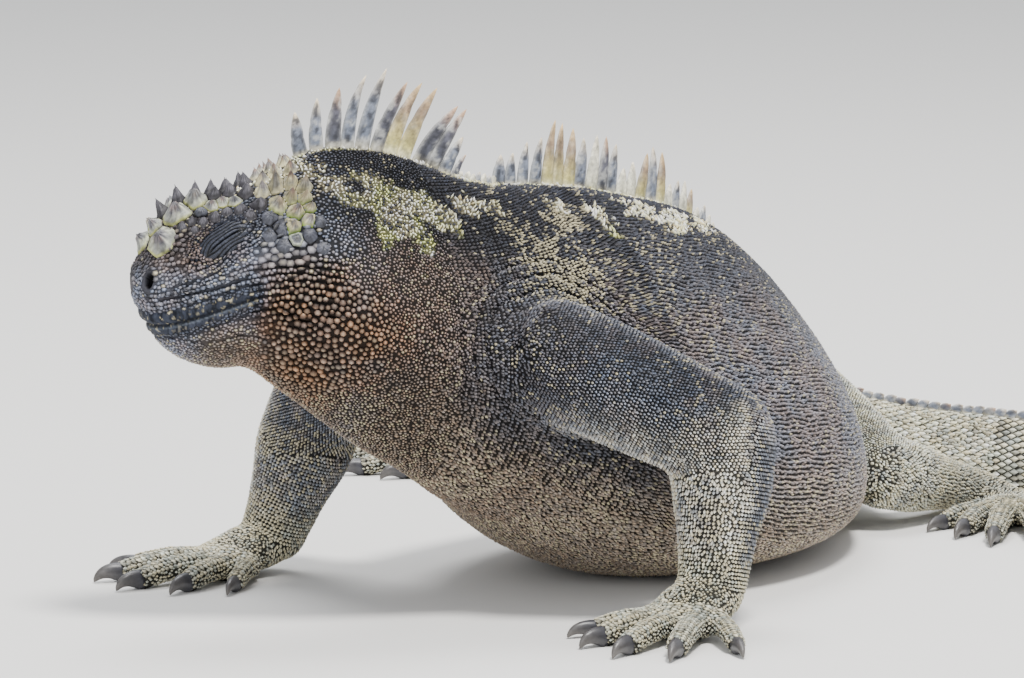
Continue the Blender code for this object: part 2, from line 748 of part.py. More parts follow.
def ellipsoid(name, centre, axes, sizes, collection, around=14, rows=7):
    """A closed ellipsoid with poles on its third axis."""
    rings = []
    for k in range(rows):
        lean = -math.pi / 2 + math.pi * (k + 0.5) / rows
        angle = np.arange(around) / around * 2 * math.pi
        rings.append(
            np.asarray(centre)
            + np.outer(np.cos(angle) * math.cos(lean) * sizes[0], axes[0])
            + np.outer(np.sin(angle) * math.cos(lean) * sizes[1], axes[1])
            + axes[2] * math.sin(lean) * sizes[2]
        )
    made = loft(name, rings, collection)
    hide(made)
    return made


def hoop(name, centre, axes, sizes, tube, collection, around=20, sides=6, sink=0.0):
    """A closed elliptical ring lying on the surface."""
    shape = bmesh.new()
    rows = []
    for k in range(around):
        angle = 2 * math.pi * k / around
        out = axes[0] * math.cos(angle) * sizes[0] + axes[1] * math.sin(angle) * sizes[1]
        spot = np.asarray(centre) + out - axes[2] * sink * (math.cos(angle) ** 2)
        away = out / np.linalg.norm(out)
        row = []
        for j in range(sides):
            roll = 2 * math.pi * j / sides
            p = spot + away * math.cos(roll) * tube[0] + axes[2] * math.sin(roll) * tube[1]
            row.append(shape.verts.new(Vector(p) * MM))
        rows.append(row)
    for k in range(around):
        a, b = rows[k], rows[(k + 1) % around]
        for j in range(sides):
            n = (j + 1) % sides
            shape.faces.new((a[j], a[n], b[n], b[j]))
    bmesh.ops.recalc_face_normals(shape, faces=shape.faces)
    mesh = bpy.data.meshes.new(name)
    shape.to_mesh(mesh)
    shape.free()
    made = new_object(name, mesh, collection)
    hide(made)
    return made


def band_along(name, points, normals, ups, quad, collection):
    """A closed band along a path on the skin; quad has (outward, upward) corners."""
    rings = []
    for point, normal, up in zip(points, normals, ups):
        rings.append([point + normal * out + up * high for out, high in quad])
    made = loft(name, rings, collection)
    hide(made)
    return made


def mouth_path():
    """Points, normals and upward ways along the mouth, from the left corner to the right."""
    table = np.array(MOUTH)
    s = np.array([4.9, 6.5, 11, 17, 23, 30, 37, 43.5])
    heights = np.interp(s, table[:, 0], table[:, 1])
    left = [skin_at(at, up, 1.0)[0] for at, up in zip(s, heights)]
    right = [skin_at(at, up, -1.0)[0] for at, up in zip(s, heights)]
    _, way = on_backbone(4.0)
    front = (left[0] + right[0]) / 2 - np.array([*way, 0.0]) * 0.35
    points = np.array([*left[::-1], front, *right])
    tangent = np.gradient(points, axis=0)
    normals = np.cross(np.array([0, 0, 1.0]), tangent)
    normals /= np.linalg.norm(normals, axis=1)[:, None]
    inside = np.array([*on_backbone(30)[0], 110.0])
    if np.dot(normals[0], points[0] - inside) < 0:
        normals = -normals
    ups = np.cross(tangent, normals)
    ups /= np.linalg.norm(ups, axis=1)[:, None]
    ups *= np.sign(ups[:, 2])[:, None]
    return points, normals, ups


def head(helpers, nodes):
    """The head: snout, jaws, line of the mouth, lips, nostrils, lids, ear cups and casque."""
    last = HEAD_END - JOINT_GAP / 2
    rows = np.concatenate([[0, 1.2, 3, 5.2, 8, 11], np.linspace(14.5, last, 14)])
    rings = [body_ring(s, 26) for s in rows]
    skull = loft("head", rings, helpers)
    forward = np.array([*on_backbone(30)[1], 0.0])
    added = collection_named("added")
    taken = collection_named("taken")
    points, normals, ups = mouth_path()
    for name, rise in (("upper_lip", 1.75), ("lower_lip", -1.75)):
        quad = [(-1.6, rise - 1.3), (0.6, rise - 0.9), (0.6, rise + 0.9), (-1.6, rise + 1.3)]
        band_along(name, points[1:-1], normals[1:-1], ups[1:-1], quad, added)
    band_along("mouth", points, normals, ups, [(1.6, -0.75), (1.6, 0.75), (-1.5, 0.12), (-1.5, -0.12)], taken)
    for side_name, side in SIDES.items():
        point, normal = skin_at(NOSTRIL[0], NOSTRIL[1], side)
        axes = turned_axes(normal, forward, math.radians(70))
        hoop("rim", point + normal * 0.1, axes, (3.3, 2.4), (1.0, 1.0), added, 12, 5)
        ellipsoid("hole", point + normal * 0.4, axes, (2.5, 1.6, 3.0), taken, 12, 6)
        point, normal = skin_at(EAR[0], EAR[1], side)
        axes = turned_axes(normal, forward, math.radians(80))
        ellipsoid("ear", point + normal * 0.6, axes, (6.0, 4.6, 2.4), taken, 14, 6)
        point, normal = skin_at(EYE[0], EYE[1], side)
        axes = turned_axes(normal, forward, EYE_SLANT)
        hoop("lids", point - normal * 0.3, axes, (10.6, 6.7), (1.3, 1.3), added, 14, 5, 1.0)
        ellipsoid("socket", point - normal * 0.6, axes,
                  tuple(v + 0.5 for v in EYE_SIZE), taken, 14, 6)
        made = ellipsoid(f"eye_{side_name}", point - normal * 0.6, axes, EYE_SIZE, nodes, 14, 6)
        made.hide_render = False
        made.display_type = "TEXTURED"
    draw = random.Random(SEED + 1)
    for point, normal, radius, tall in casque_places():
        cone_scale("cone", point, normal, radius, tall, draw.uniform(0, 6), added)
    with_collection(skull, added, "UNION")
    with_collection(skull, taken, "DIFFERENCE")
    return largest_surface(skull, nodes)


def main():
    for thing in list(bpy.data.objects):
        bpy.data.objects.remove(thing)
    helpers = collection_named("helpers")
    nodes = collection_named("nodes")
    parts = parted_flesh(helpers, nodes)
    parts["head"] = head(helpers, nodes)
    for side in SIDES:
        paw("hand", side, ARMS[side], (12.8, 10.0), HAND_HEADINGS[side], HAND, helpers, nodes)
        paw("foot", side, LEGS[side], (9.8, 8.4), FOOT_HEADINGS[side], FOOT, helpers, nodes)
    borders = [0, HEAD_END, NECK_CUT[0], *TAIL_CUTS, TAIL_END]
    names = ["head", "neck", "torso", *(f"tail_{k + 1}" for k in range(len(TAIL_CUTS)))]
    spines = crest_spines()
    for name, first, last in zip(names, borders, borders[1:]):
        pieces = collection_named("crest")
        for s, tall, lean, foot, thick in spines:
            if first <= s < last:
                s = min(max(s, first + foot / 2 + 0.25), last - foot / 2 - 0.25)
                spine("spine", s, tall, lean, foot, thick, pieces)
        with_collection(parts[name], pieces, "UNION")
        parts[name] = largest_surface(parts[name], nodes)


main()
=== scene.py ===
"""The looks of the marine iguana: one skin, its scales, crest, casque, lids and claws.

Sizes in the tables are millimetres, as in the solids; MM turns them into Blender's metres.
"""

import json
import math
import random

import bmesh
import bpy
import numpy as np
from mathutils import Matrix, Vector
from mathutils.bvhtree import BVHTree
from mathutils.kdtree import KDTree

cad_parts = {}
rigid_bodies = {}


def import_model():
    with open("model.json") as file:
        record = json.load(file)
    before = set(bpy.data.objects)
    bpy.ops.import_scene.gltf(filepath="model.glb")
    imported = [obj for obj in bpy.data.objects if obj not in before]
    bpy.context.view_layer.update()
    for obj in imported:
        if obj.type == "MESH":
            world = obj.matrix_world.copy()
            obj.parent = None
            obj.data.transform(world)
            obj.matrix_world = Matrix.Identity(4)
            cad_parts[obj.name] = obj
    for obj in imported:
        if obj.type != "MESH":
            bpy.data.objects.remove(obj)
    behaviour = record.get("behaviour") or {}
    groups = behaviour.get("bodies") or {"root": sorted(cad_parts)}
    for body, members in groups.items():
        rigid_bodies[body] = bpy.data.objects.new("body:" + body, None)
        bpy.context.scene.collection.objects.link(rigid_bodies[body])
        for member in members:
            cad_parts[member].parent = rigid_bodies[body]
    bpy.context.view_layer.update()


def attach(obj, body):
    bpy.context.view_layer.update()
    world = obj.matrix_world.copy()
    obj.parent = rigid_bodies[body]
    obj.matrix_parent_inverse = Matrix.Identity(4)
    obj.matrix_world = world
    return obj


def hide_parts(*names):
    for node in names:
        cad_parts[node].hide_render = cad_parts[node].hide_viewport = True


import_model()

MM = 0.001
SEED = 11

# The camera: the turn and lift of the view, its distance and focal length in the photo's pixels,
# and the pixel on which the origin falls.
VIEW_TURN = -50.0
VIEW_LIFT = 10.0
VIEW_DISTANCE = 2.3
VIEW_FOCAL = 6164.0
VIEW_ORIGIN = (668.0, 560.0)
PHOTO = (1024.0, 678.0)

HEAD_END = 74.1
BELLY_MIDDLE = 243.0
TAIL_END = 948.0
TAIL_TIP = 941.0
JOINT_GAP = 0.36
END_CUT = 0.94
COAT = 0.45

HEADINGS = (
    (0, -40), (58, -38), (98, -20), (131, -4), (183, 2), (243, 10), (283, 20), (310, 31),
    (335, 40), (370, 34), (403, -4), (440, -48), (490, -66), (560, -60), (700, -25), (820, 10),
    (948, 35),
)
SECTIONS = (
    (0, 127, 118, 3.5, 5, 3.5), (2, 130, 113, 7.5, 9.5, 6.5), (5, 136, 107, 10.5, 13, 9),
    (9, 143, 101, 13, 15.5, 10.5), (14, 148, 96.5, 15, 17.5, 12), (21, 151.5, 93, 17, 20.5, 14),
    (30, 153, 91, 19, 24, 16.5), (40, 156, 91, 20, 27, 18.5), (50, 161, 84, 18, 29.5, 19),
    (64, 167, 73, 17, 33, 18), (78, 168, 62, 18, 36, 17), (98, 164, 50, 22, 40, 18),
    (112, 158, 41, 27, 44, 21), (131, 152, 31, 34, 50, 26), (153, 150, 18, 42, 57, 31),
    (183, 146, 5, 55, 64, 37), (213, 140, -1, 62, 67, 38), (243, 133, -2.5, 63, 66, 36),
    (273, 121, -2.5, 58, 59, 31), (303, 107, -2.5, 48, 50, 26), (333, 91, -2, 38, 43, 23),
    (368, 71, -1.5, 27, 35, 19), (403, 51, -1.5, 18, 26, 14), (430, 41, -1.5, 13, 19, 10),
    (460, 34.5, -1.2, 11, 15.5, 8), (503, 31, -1.2, 9.5, 12.5, 6), (603, 27, -1, 7.5, 9.5, 4.2),
    (748, 20, -1, 5, 6.5, 2.8), (900, 8.5, -0.6, 2.4, 3, 1.4), (948, 3, -0.3, 0.9, 1.1, 0.6),
)
WIDTH_HEIGHTS = (0.12, 0.45, 0.82)
SIDES = {"left": -1.0, "right": 1.0}

ARMS = {
    "left": ((-121, -50, 94), (-84, -97, 66), (-95, -100, 15)),
    "right": ((-112, 38, 100), (-105, 80, 61), (-112, 96, 15)),
}
LEGS = {
    "left": ((136, 50, 38), (106, -19, 22), (161, -16, 9)),
    "right": ((118, 84, 42), (78, 126, 26), (128, 166, 10)),
}
UPPER_ARM = ((0, 21, 21), (0.35, 20, 21), (0.7, 18, 20), (1, 18, 18.5))
FOREARM = ((0, 18, 18), (0.3, 19, 16.5), (0.7, 15, 12.5), (1, 13, 10.3))
THIGH = ((0, 22, 22), (0.4, 20, 20), (0.75, 16, 17), (1, 13.5, 15))
SHIN = ((0, 13, 14), (0.3, 13.5, 14), (0.7, 10.5, 10.5), (1, 10, 8.5))

HAND = {
    "palm": 14, "width": 15, "thick": 7.5,
    "digits": ((17, -38), (25, -18), (31, 0), (31, 17), (22, 42)),
    "thickness": 4.7,
}
FOOT = {
    "palm": 26, "width": 13, "thick": 6.5,
    "digits": ((17, -36), (27, -19), (39, -6), (50, 8), (28, 40)),
    "thickness": 4.6,
}
HAND_HEADINGS = {"left": 190.0, "right": 170.0}
FOOT_HEADINGS = {"left": 216.0, "right": 140.0}
WRIST = (12.8, 10.0)
ANKLE = (9.8, 8.4)
CLAW_LENGTH = 12.0

# The head's forms, by distance behind the snout and height.
MOUTH = (
    (0, 107.3), (3.6, 107.3), (8, 107.6), (15, 109.3), (21, 111.2), (27, 113.4), (34, 116),
    (39, 117.8), (43.5, 119), (60, 119),
)
MOUTH_CORNER = 42.5
NOSTRIL = (5.4, 123.6)
EYE = (31.5, 138.6)
EAR = (61.5, 136.5)
EYE_SIZE = (9.4, 5.6)
EYE_SLANT = math.radians(27)
NOSTRIL_SIZE = (3.0, 1.8)

# The crest: first spine's distance behind the snout, spacing, foot length, thickness, lean of the
# first and last spine in degrees, heights, and each spine's colour: s slate, y yellow-brown,
# c cream, d dark.
CREST = (
    (60.5, 5.45, 4.8, 2.6, 12, 14, (15, 18, 21, 26, 29, 26, 27, 27, 25, 25, 15), "ssdssdyydds"),
    (119.5, 2.75, 2.7, 2.0, 14, 10, (9, 3, 3.5, 2.8, 4, 4.5, 3.5, 4.5), "dcccscsc"),
    (141.5, 6.3, 5.4, 2.5, 6, -2,
     (10.5, 11, 15, 17, 23.5, 22.5, 21, 18, 20, 20, 18, 10, 13, 17, 20, 19), "ssssyyyscdsccysy"),
    (242.0, 5.5, 4.8, 2.3, -2, 4, (8.5, 11, 12.5, 11, 7, 9, 7.5, 6, 5), "cscycsccs"),
    (292.0, 4.6, 4.4, 2.0, 10, 35, tuple(5.0 - 0.02 * k for k in range(30)), "sdcs"),
    (433.0, 4.5, 4.6, 1.7, 45, 50, tuple(4.6 - 0.021 * k for k in range(110)), "ssds"),
)

# The plates of the casque on each side: distance behind the snout, turn over the side from the
# middle line, radius, height, and kind: w whitish plate, d dark cone, t temple cone, f flat.
PLATES = (
    (5.0, 0.0, 4.4, 2.8, "w"), (10.0, 0.112, 5.6, 3.2, "w"), (8.6, 0.035, 3.6, 3.4, "w"),
    (16.0, 0.058, 6.2, 3.6, "w"), (11.5, 0.0, 3.8, 3.6, "d"), (17.0, 0.0, 4.2, 3.6, "d"),
    (22.5, 0.036, 5.4, 3.3, "w"), (24.4, 0.084, 2.6, 1.8, "f"), (28.3, 0.064, 2.9, 2.0, "w"),
    (32.0, 0.060, 2.9, 2.0, "w"), (36.0, 0.066, 2.9, 1.9, "w"), (23.0, 0.0, 3.4, 3.2, "d"),
    (28.4, 0.0, 3.2, 3.2, "d"), (29.6, 0.030, 2.8, 2.4, "d"), (33.4, 0.0, 3.2, 2.8, "d"),
    (34.6, 0.032, 3.0, 2.4, "d"), (38.6, 0.0, 3.0, 2.8, "d"), (40.0, 0.054, 3.4, 2.8, "d"),
    (44.2, 0.098, 3.5, 3.0, "d"), (37.6, 0.093, 2.6, 1.6, "d"), (33.0, 0.090, 2.4, 1.3, "d"),
    (28.8, 0.097, 2.4, 1.3, "d"), (40.8, 0.112, 2.6, 1.5, "d"),
    (17.6, 0.110, 2.3, 1.4, "d"), (20.8, 0.104, 2.2, 1.4, "d"), (24.6, 0.108, 2.1, 1.3, "d"),
    (21.4, 0.124, 1.9, 1.1, "d"),
    (40.4, 0.018, 2.8, 2.6, "d"), (44.0, 0.0, 3.2, 2.0, "t"), (46.2, 0.036, 3.2, 2.3, "t"),
    (45.6, 0.068, 3.4, 2.9, "t"), (50.2, 0.070, 3.7, 5.6, "t"), (50.2, 0.034, 3.0, 2.4, "t"),
    (54.9, 0.078, 3.2, 5.0, "t"), (59.0, 0.092, 3.1, 5.4, "t"), (50.0, 0.110, 4.1, 3.0, "t"),
    (54.6, 0.104, 3.2, 3.6, "t"), (58.8, 0.112, 3.0, 3.6, "t"), (55.8, 0.130, 3.7, 3.2, "t"),
    (54.0, 0.150, 3.5, 2.4, "t"), (59.6, 0.146, 3.0, 2.2, "t"), (60.2, 0.128, 2.5, 2.4, "t"),
    (49.0, 0.0, 2.8, 1.8, "t"), (54.0, 0.010, 2.6, 1.8, "t"), (55.4, 0.044, 2.7, 2.2, "t"),
    (55.2, 0.169, 2.6, 1.2, "r"), (59.4, 0.166, 2.8, 1.2, "f"), (50.8, 0.150, 3.3, 0.8, "f"),
    (47.2, 0.128, 3.0, 0.9, "f"), (51.2, 0.176, 3.0, 0.6, "f"), (46.8, 0.158, 2.8, 0.6, "f"),
    (63.0, 0.150, 2.4, 1.0, "f"), (63.2, 0.180, 2.4, 0.7, "f"),
)


def srgb(red, green, blue):
    """A colour given as on a screen, as the linear values that Blender takes."""
    return np.array([((v / 255 + 0.055) / 1.055) ** 2.4 if v > 10 else v / 255 / 12.92
                     for v in (red, green, blue)])


SLATE = srgb(84, 88, 100)
CHARCOAL = srgb(38, 39, 46)
GAP = srgb(26, 26, 32)
ARM_BLUE = srgb(76, 80, 90)
HEAD_GREY = srgb(102, 106, 118)
LIP = srgb(49, 53, 64)
JOWL = srgb(116, 85, 62)
THROAT = srgb(104, 92, 80)
NECK = srgb(96, 82, 74)
FLANK = srgb(92, 93, 101)
RUST = srgb(106, 92, 86)
BELLY = srgb(126, 112, 94)
FOREARM_TAN = srgb(178, 174, 162)
PAW = srgb(112, 112, 104)
TAIL_OLIVE = srgb(180, 178, 157)
CREAM = srgb(222, 210, 172)
MOSS = srgb(176, 184, 106)
MOSS_PALE = srgb(208, 208, 150)
BROWN_TIP = srgb(128, 108, 98)


def curve_through(table, at):
    """The table's columns at the given values of its first one, on a smooth curve."""
    table = np.asarray(table, float)
    x, y = table[:, 0], table[:, 1:]
    slope = np.gradient(y, x, axis=0)
    at = np.clip(np.atleast_1d(np.asarray(at, float)), x[0], x[-1])
    i = np.clip(np.searchsorted(x, at, side="right") - 1, 0, len(x) - 2)
    h = (x[i + 1] - x[i])[:, None]
    t = ((at - x[i]) / (x[i + 1] - x[i]))[:, None]
    return (
        (2 * t**3 - 3 * t**2 + 1) * y[i]
        + (t**3 - 2 * t**2 + t) * h * slope[i]
        + (3 * t**2 - 2 * t**3) * y[i + 1]
        + (t**3 - t**2) * h * slope[i + 1]
    )


def backbone():
    """Distances, plan points and unit headings along the backbone, one a millimetre."""
    s = np.arange(0.0, TAIL_END + 0.5, 1.0)
    angle = np.radians(curve_through(HEADINGS, s)[:, 0])
    step = np.stack([np.cos(angle), np.sin(angle)], axis=1)
    plan = np.concatenate([[[0.0, 0.0]], np.cumsum((step[1:] + step[:-1]) / 2, axis=0)])
    plan -= plan[int(BELLY_MIDDLE)]
    return s, plan, step


BACKBONE = backbone()


def on_backbone(s):
    """Plan points and unit headings of the backbone at distances behind the snout."""
    distance, plan, step = BACKBONE
    s = np.atleast_1d(np.asarray(s, float))
    point = np.stack([np.interp(s, distance, plan[:, k]) for k in (0, 1)], axis=1)
    way = np.stack([np.interp(s, distance, step[:, k]) for k in (0, 1)], axis=1)
    return point, way / np.linalg.norm(way, axis=1)[:, None]


def unit(vectors):
    """Vectors of length one."""
    return vectors / np.maximum(np.linalg.norm(vectors, axis=-1, keepdims=True), 1e-9)


def trunk_points(s, turn):
    """Points of the trunk; turn goes once round, from the back over the left side and belly."""
    s, turn = np.broadcast_arrays(np.asarray(s, float), np.asarray(turn, float))
    shape = s.shape
    s, turn = s.ravel(), turn.ravel()
    sizes = curve_through(SECTIONS, s)
    back, belly = sizes[:, 0], sizes[:, 1]
    keys = np.zeros((len(s), 8, 2))
    keys[:, 0, 1] = back
    keys[:, 4, 1] = belly
    for k, (share, column) in enumerate(zip(reversed(WIDTH_HEIGHTS), (4, 3, 2))):
        height = belly + share * (back - belly)
        keys[:, 1 + k] = np.stack([-sizes[:, column], height], axis=1)
        keys[:, 7 - k] = np.stack([sizes[:, column], height], axis=1)
    at = (turn % 1.0) * 8
    i = np.floor(at).astype(int)
    t = (at - i)[:, None]
    rows = np.arange(len(s))
    p0, p1, p2, p3 = (keys[rows, (i + k) % 8] for k in (-1, 0, 1, 2))
    outline = 0.5 * (
        2 * p1 + (p2 - p0) * t + (2 * p0 - 5 * p1 + 4 * p2 - p3) * t**2
        + (3 * p1 - p0 - 3 * p2 + p3) * t**3
    )
    point, way = on_backbone(s)
    across = np.stack([-way[:, 1], way[:, 0]], axis=1)
    plan = point + outline[:, :1] * across
    return np.column_stack([plan, outline[:, 1]]).reshape(*shape, 3)


def trunk_normal(s, turn):
    """Outward normals of the trunk."""
    s, turn = np.broadcast_arrays(np.asarray(s, float), np.asarray(turn, float))
    along = trunk_points(s + 0.8, turn) - trunk_points(np.maximum(s - 0.8, 0.2), turn)
    over = trunk_points(s, turn + 0.01) - trunk_points(s, turn - 0.01)
    return unit(np.cross(over, along))


def lattice_noise(points, size, seed):
    """Smooth noise from 0 to 1 over points in space, with features of about the given size."""
    at = np.asarray(points, float) / size + 71.3 * seed
    low = np.floor(at).astype(np.int64)
    part = at - low
    part = part * part * (3 - 2 * part)
    total = np.zeros(len(at))
    for corner in range(8):
        step = np.array([(corner >> k) & 1 for k in range(3)])
        cell = low + step
        value = (cell[:, 0] * 73856093) ^ (cell[:, 1] * 19349663) ^ (cell[:, 2] * 83492791)
        value = (value ^ (seed * 2654435761)) & 0x7FFFFFFF
        value = (value * 1103515245 + 12345) & 0x7FFFFFFF
        value = ((value >> 8) * 69069 + 5) & 0x7FFFFFFF
        level = ((value >> 7) & 0xFFFF) / 65535.0
        weight = np.prod(np.where(step == 1, part, 1 - part), axis=1)
        total += level * weight
    return total


def layered_noise(points, size, seed, layers=3):
    """Noise with finer layers over it, from 0 to 1."""
    total = sum(lattice_noise(points, size / 2**k, seed + k) * 0.5**k for k in range(layers))
    return total / (2 - 0.5 ** (layers - 1))


def eased(value, low, high):
    """0 below low, 1 above high, smooth between them; low may be above high."""
    t = np.clip((np.asarray(value, float) - low) / (high - low), 0, 1)
    return t * t * (3 - 2 * t)


def bump(value, width):
    """A hill of height 1 at 0."""
    return np.exp(-((value / width) ** 2))


def tube(rings):
    """Vertices and faces of a closed surface through rings, each end closed by a fan."""
    rings = np.asarray(rings, float)
    rows, count = rings.shape[:2]
    verts = np.concatenate([
        rings.reshape(-1, 3), rings[0].mean(axis=0)[None], rings[-1].mean(axis=0)[None],
    ])
    r, k = np.meshgrid(np.arange(rows - 1), np.arange(count), indexing="ij")
    n = (k + 1) % count
    quads = np.stack([r * count + k, r * count + n, (r + 1) * count + n, (r + 1) * count + k], axis=-1)
    faces = quads.reshape(-1, 4).tolist()
    first, last = rows * count, rows * count + 1
    for k in range(count):
        n = (k + 1) % count
        faces.append([n, k, first])
        faces.append([(rows - 1) * count + k, (rows - 1) * count + n, last])
    return verts, faces


def frame_along(way, up):
    """Unit vectors along, sideways and up for a ring across a path."""
    way = unit(np.asarray(way, float))
    side = unit(np.cross(up, way))
    return way, side, np.cross(way, side)


def path_rings(path, half_sizes, count, up=(0, 0, 1)):
    """Rings across a path of points; half_sizes has the (sideways, upward) radii at each."""
    path = np.asarray(path, float)
    ways = np.gradient(path, axis=0)
    angle = np.arange(count) / count * 2 * math.pi
    rings = []
    for point, way, (a, b) in zip(path, ways, half_sizes):
        _, side, top = frame_along(way, np.asarray(up, float))
        rings.append(point + np.outer(np.cos(angle) * a, side) + np.outer(np.sin(angle) * b, top))
    return np.array(rings)


def limb_rings(start, end, profile, up, count=48, steps=40):
    """Rings of a fleshy length of limb between two joints, with rounded ends."""
    start, end = np.asarray(start, float), np.asarray(end, float)
    length = np.linalg.norm(end - start)
    reach = [np.mean(row[1:]) / length * 0.9 for row in (profile[0], profile[-1])]
    share = np.linspace(-reach[0], 1 + reach[1], steps)
    sizes = curve_through(profile, np.clip(share, 0, 1))
    past = np.maximum(-share / reach[0], (share - 1) / reach[1]).clip(0, 0.97)
    sizes = sizes * np.sqrt(1 - past**2)[:, None]
    return path_rings(start + share[:, None] * (end - start), sizes, count, up)


def between(a, b, share):
    a, b = np.asarray(a, float), np.asarray(b, float)
    return a + (b - a) * share


def plan_way(degrees):
    return np.array([math.cos(math.radians(degrees)), math.sin(math.radians(degrees)), 0.0])


def turned(vector, axis, angle):
    """A vector turned about a unit axis."""
    return (vector * math.cos(angle) + np.cross(axis, vector) * math.sin(angle)
            + axis * np.dot(axis, vector) * (1 - math.cos(angle)))


def bent_joint(start, way_in, ahead, radii_in, radii_out, count=7):
    """Centres, side and top vectors and radii of rings that turn about a joint's inside."""
    across = np.array([-ahead[1], ahead[0], 0.0])
    up = np.cross(ahead, across)
    axis = unit(np.cross(way_in, ahead))
    whole = math.acos(float(np.clip(np.dot(way_in, ahead), -1, 1)))
    inner = unit(ahead - way_in * np.dot(ahead, way_in))
    made = []
    pivot = None
    for k in range(count):
        share = k / (count - 1)
        angle = whole * share
        side = turned(across, axis, angle - whole)
        top = turned(up, axis, angle - whole)
        facing = turned(inner, axis, angle)
        a, b = (radii_in[j] + (radii_out[j] - radii_in[j]) * share for j in (0, 1))
        reach = math.hypot(a * np.dot(facing, side), b * np.dot(facing, top))
        way = turned(way_in, axis, angle)
        if pivot is None:
            pivot = start + facing * reach
        else:
            pivot = pivot + way * 0.45
        made.append((pivot - facing * reach, side, top, a, b))
    return made


def digit_path(root, way, length, rest, steps=13):
    """Points of a digit that arches a little over the floor and comes down to rest on it."""
    share = np.linspace(0, 1, steps)
    arch = np.sin(share * math.pi) * length * 0.05
    height = root[2] + (rest - root[2]) * share**0.8 + arch
    return np.column_stack([root[0] + way[0] * length * share, root[1] + way[1] * length * share, height])


def paw_shapes(side, joints, wrist_radii, heading, shape):
    """A palm's rings, and for each digit its rings, path, way and thickness."""
    turn = SIDES[side]
    ahead = plan_way(heading)
    across = np.array([-ahead[1], ahead[0], 0.0])
    up = np.array([0.0, 0.0, 1.0])
    _, before, wrist = joints
    way_in = unit(np.subtract(wrist, before).astype(float))
    start = between(before, wrist, END_CUT) + way_in * JOINT_GAP / 2
    wide, thick = shape["width"], shape["thick"]
    sole = thick * 0.86 - 0.8
    bend = bent_joint(start, way_in, ahead, wrist_radii, (wide * 0.94, thick * 1.1))
    bend.insert(0, (start - way_in * 5, *bend[0][1:]))
    past = bend[-1][0]
    knuckles = past + ahead * shape["palm"]
    knuckles[2] = sole
    middle = past + ahead * shape["palm"] * 0.5
    middle[2] = (past[2] + sole) / 2
    for centre, a, b in (
        (middle, wide * 0.98, thick),
        (knuckles, wide * 1.06, thick * 0.86),
        (knuckles + ahead * 4.5 - up * 0.6, wide * 0.88, thick * 0.6),
    ):
        bend.append((centre, across, up, a, b))
    angle = np.arange(36) / 36 * 2 * math.pi
    palm = np.array([
        centre + np.outer(np.cos(angle) * a, side_way) + np.outer(np.sin(angle) * b, top)
        for centre, side_way, top, a, b in bend
    ])
    digits = []
    for number, (length, spread) in enumerate(shape["digits"], 1):
        way = plan_way(heading - turn * spread)
        place = -turn * (number - 3) / 2 * shape["width"] * 0.86
        root = knuckles + across * place - ahead * (3 + 2.2 * abs(number - 3))
        root[2] = sole
        thick = shape["thickness"] * (0.86 if number in (1, 5) else 1.0)
        path = digit_path(root, way, length + 6.0, thick * 0.84 - 0.4)
        share = np.linspace(0, 1, len(path))
        swell = np.interp(share, (0, 0.25, 0.5, 0.75, 1), (1.12, 1.02, 0.95, 1.0, 0.84))
        swell = swell + 0.05 * np.cos(share * 4 * math.pi)
        rings = path_rings(path, [(thick * f, thick * f) for f in swell], 18)
        digits.append((rings, path, way, thick))
    return palm, digits


def mesh_object(name, verts, faces, smooth=True):
    """An object in metres from points in millimetres and an array of triangles or a face list."""
    mesh = bpy.data.meshes.new(name)
    verts = np.asarray(verts, float) * MM
    if isinstance(faces, np.ndarray):
        corners = faces.shape[1]
        mesh.vertices.add(len(verts))
        mesh.vertices.foreach_set("co", verts.astype(np.float32).ravel())
        mesh.loops.add(faces.size)
        mesh.loops.foreach_set("vertex_index", faces.astype(np.int32).ravel())
        mesh.polygons.add(len(faces))
        starts = np.arange(0, faces.size, corners, dtype=np.int32)
        mesh.polygons.foreach_set("loop_start", starts)
        mesh.update(calc_edges=True)
    else:
        mesh.from_pydata(verts.tolist(), [], faces)
    mesh.polygons.foreach_set("use_smooth", np.full(len(mesh.polygons), smooth))
    mesh.update()
    made = bpy.data.objects.new(name, mesh)
    bpy.context.scene.collection.objects.link(made)
    return made


def coordinates(mesh):
    flat = np.empty(len(mesh.vertices) * 3, np.float32)
    mesh.vertices.foreach_get("co", flat)
    return flat.reshape(-1, 3).astype(float) / MM


def normals_of(mesh):
    flat = np.empty(len(mesh.vertices) * 3, np.float32)
    mesh.vertices.foreach_get("normal", flat)
    return flat.reshape(-1, 3).astype(float)


def edges_of(mesh):
    flat = np.empty(len(mesh.edges) * 2, np.int32)
    mesh.edges.foreach_get("vertices", flat)
    return flat.reshape(-1, 2)


def put_coordinates(mesh, points):
    mesh.vertices.foreach_set("co", (points * MM).astype(np.float32).ravel())
    mesh.update()


def relaxed(points, edges, weight, rounds, factor=0.5):
    """Points moved towards the middle of their neighbours, each by its weight."""
    count = np.bincount(edges.ravel(), minlength=len(points))[:, None].clip(1)
    weight = (np.asarray(weight) * factor)[:, None]
    for _ in range(rounds):
        total = np.stack([
            np.bincount(edges[:, 0], points[edges[:, 1], k], len(points))
            + np.bincount(edges[:, 1], points[edges[:, 0], k], len(points))
            for k in range(3)
        ], axis=1)
        points = points + (total / count - points) * weight
    return points


def along_segment(points, start, end):
    """Distance from a segment, share along it, and the nearest point."""
    start, end = np.asarray(start, float), np.asarray(end, float)
    way = end - start
    share = np.clip((points - start) @ way / (way @ way), 0, 1)
    nearest = start + share[:, None] * way
    return np.linalg.norm(points - nearest, axis=1), share, nearest


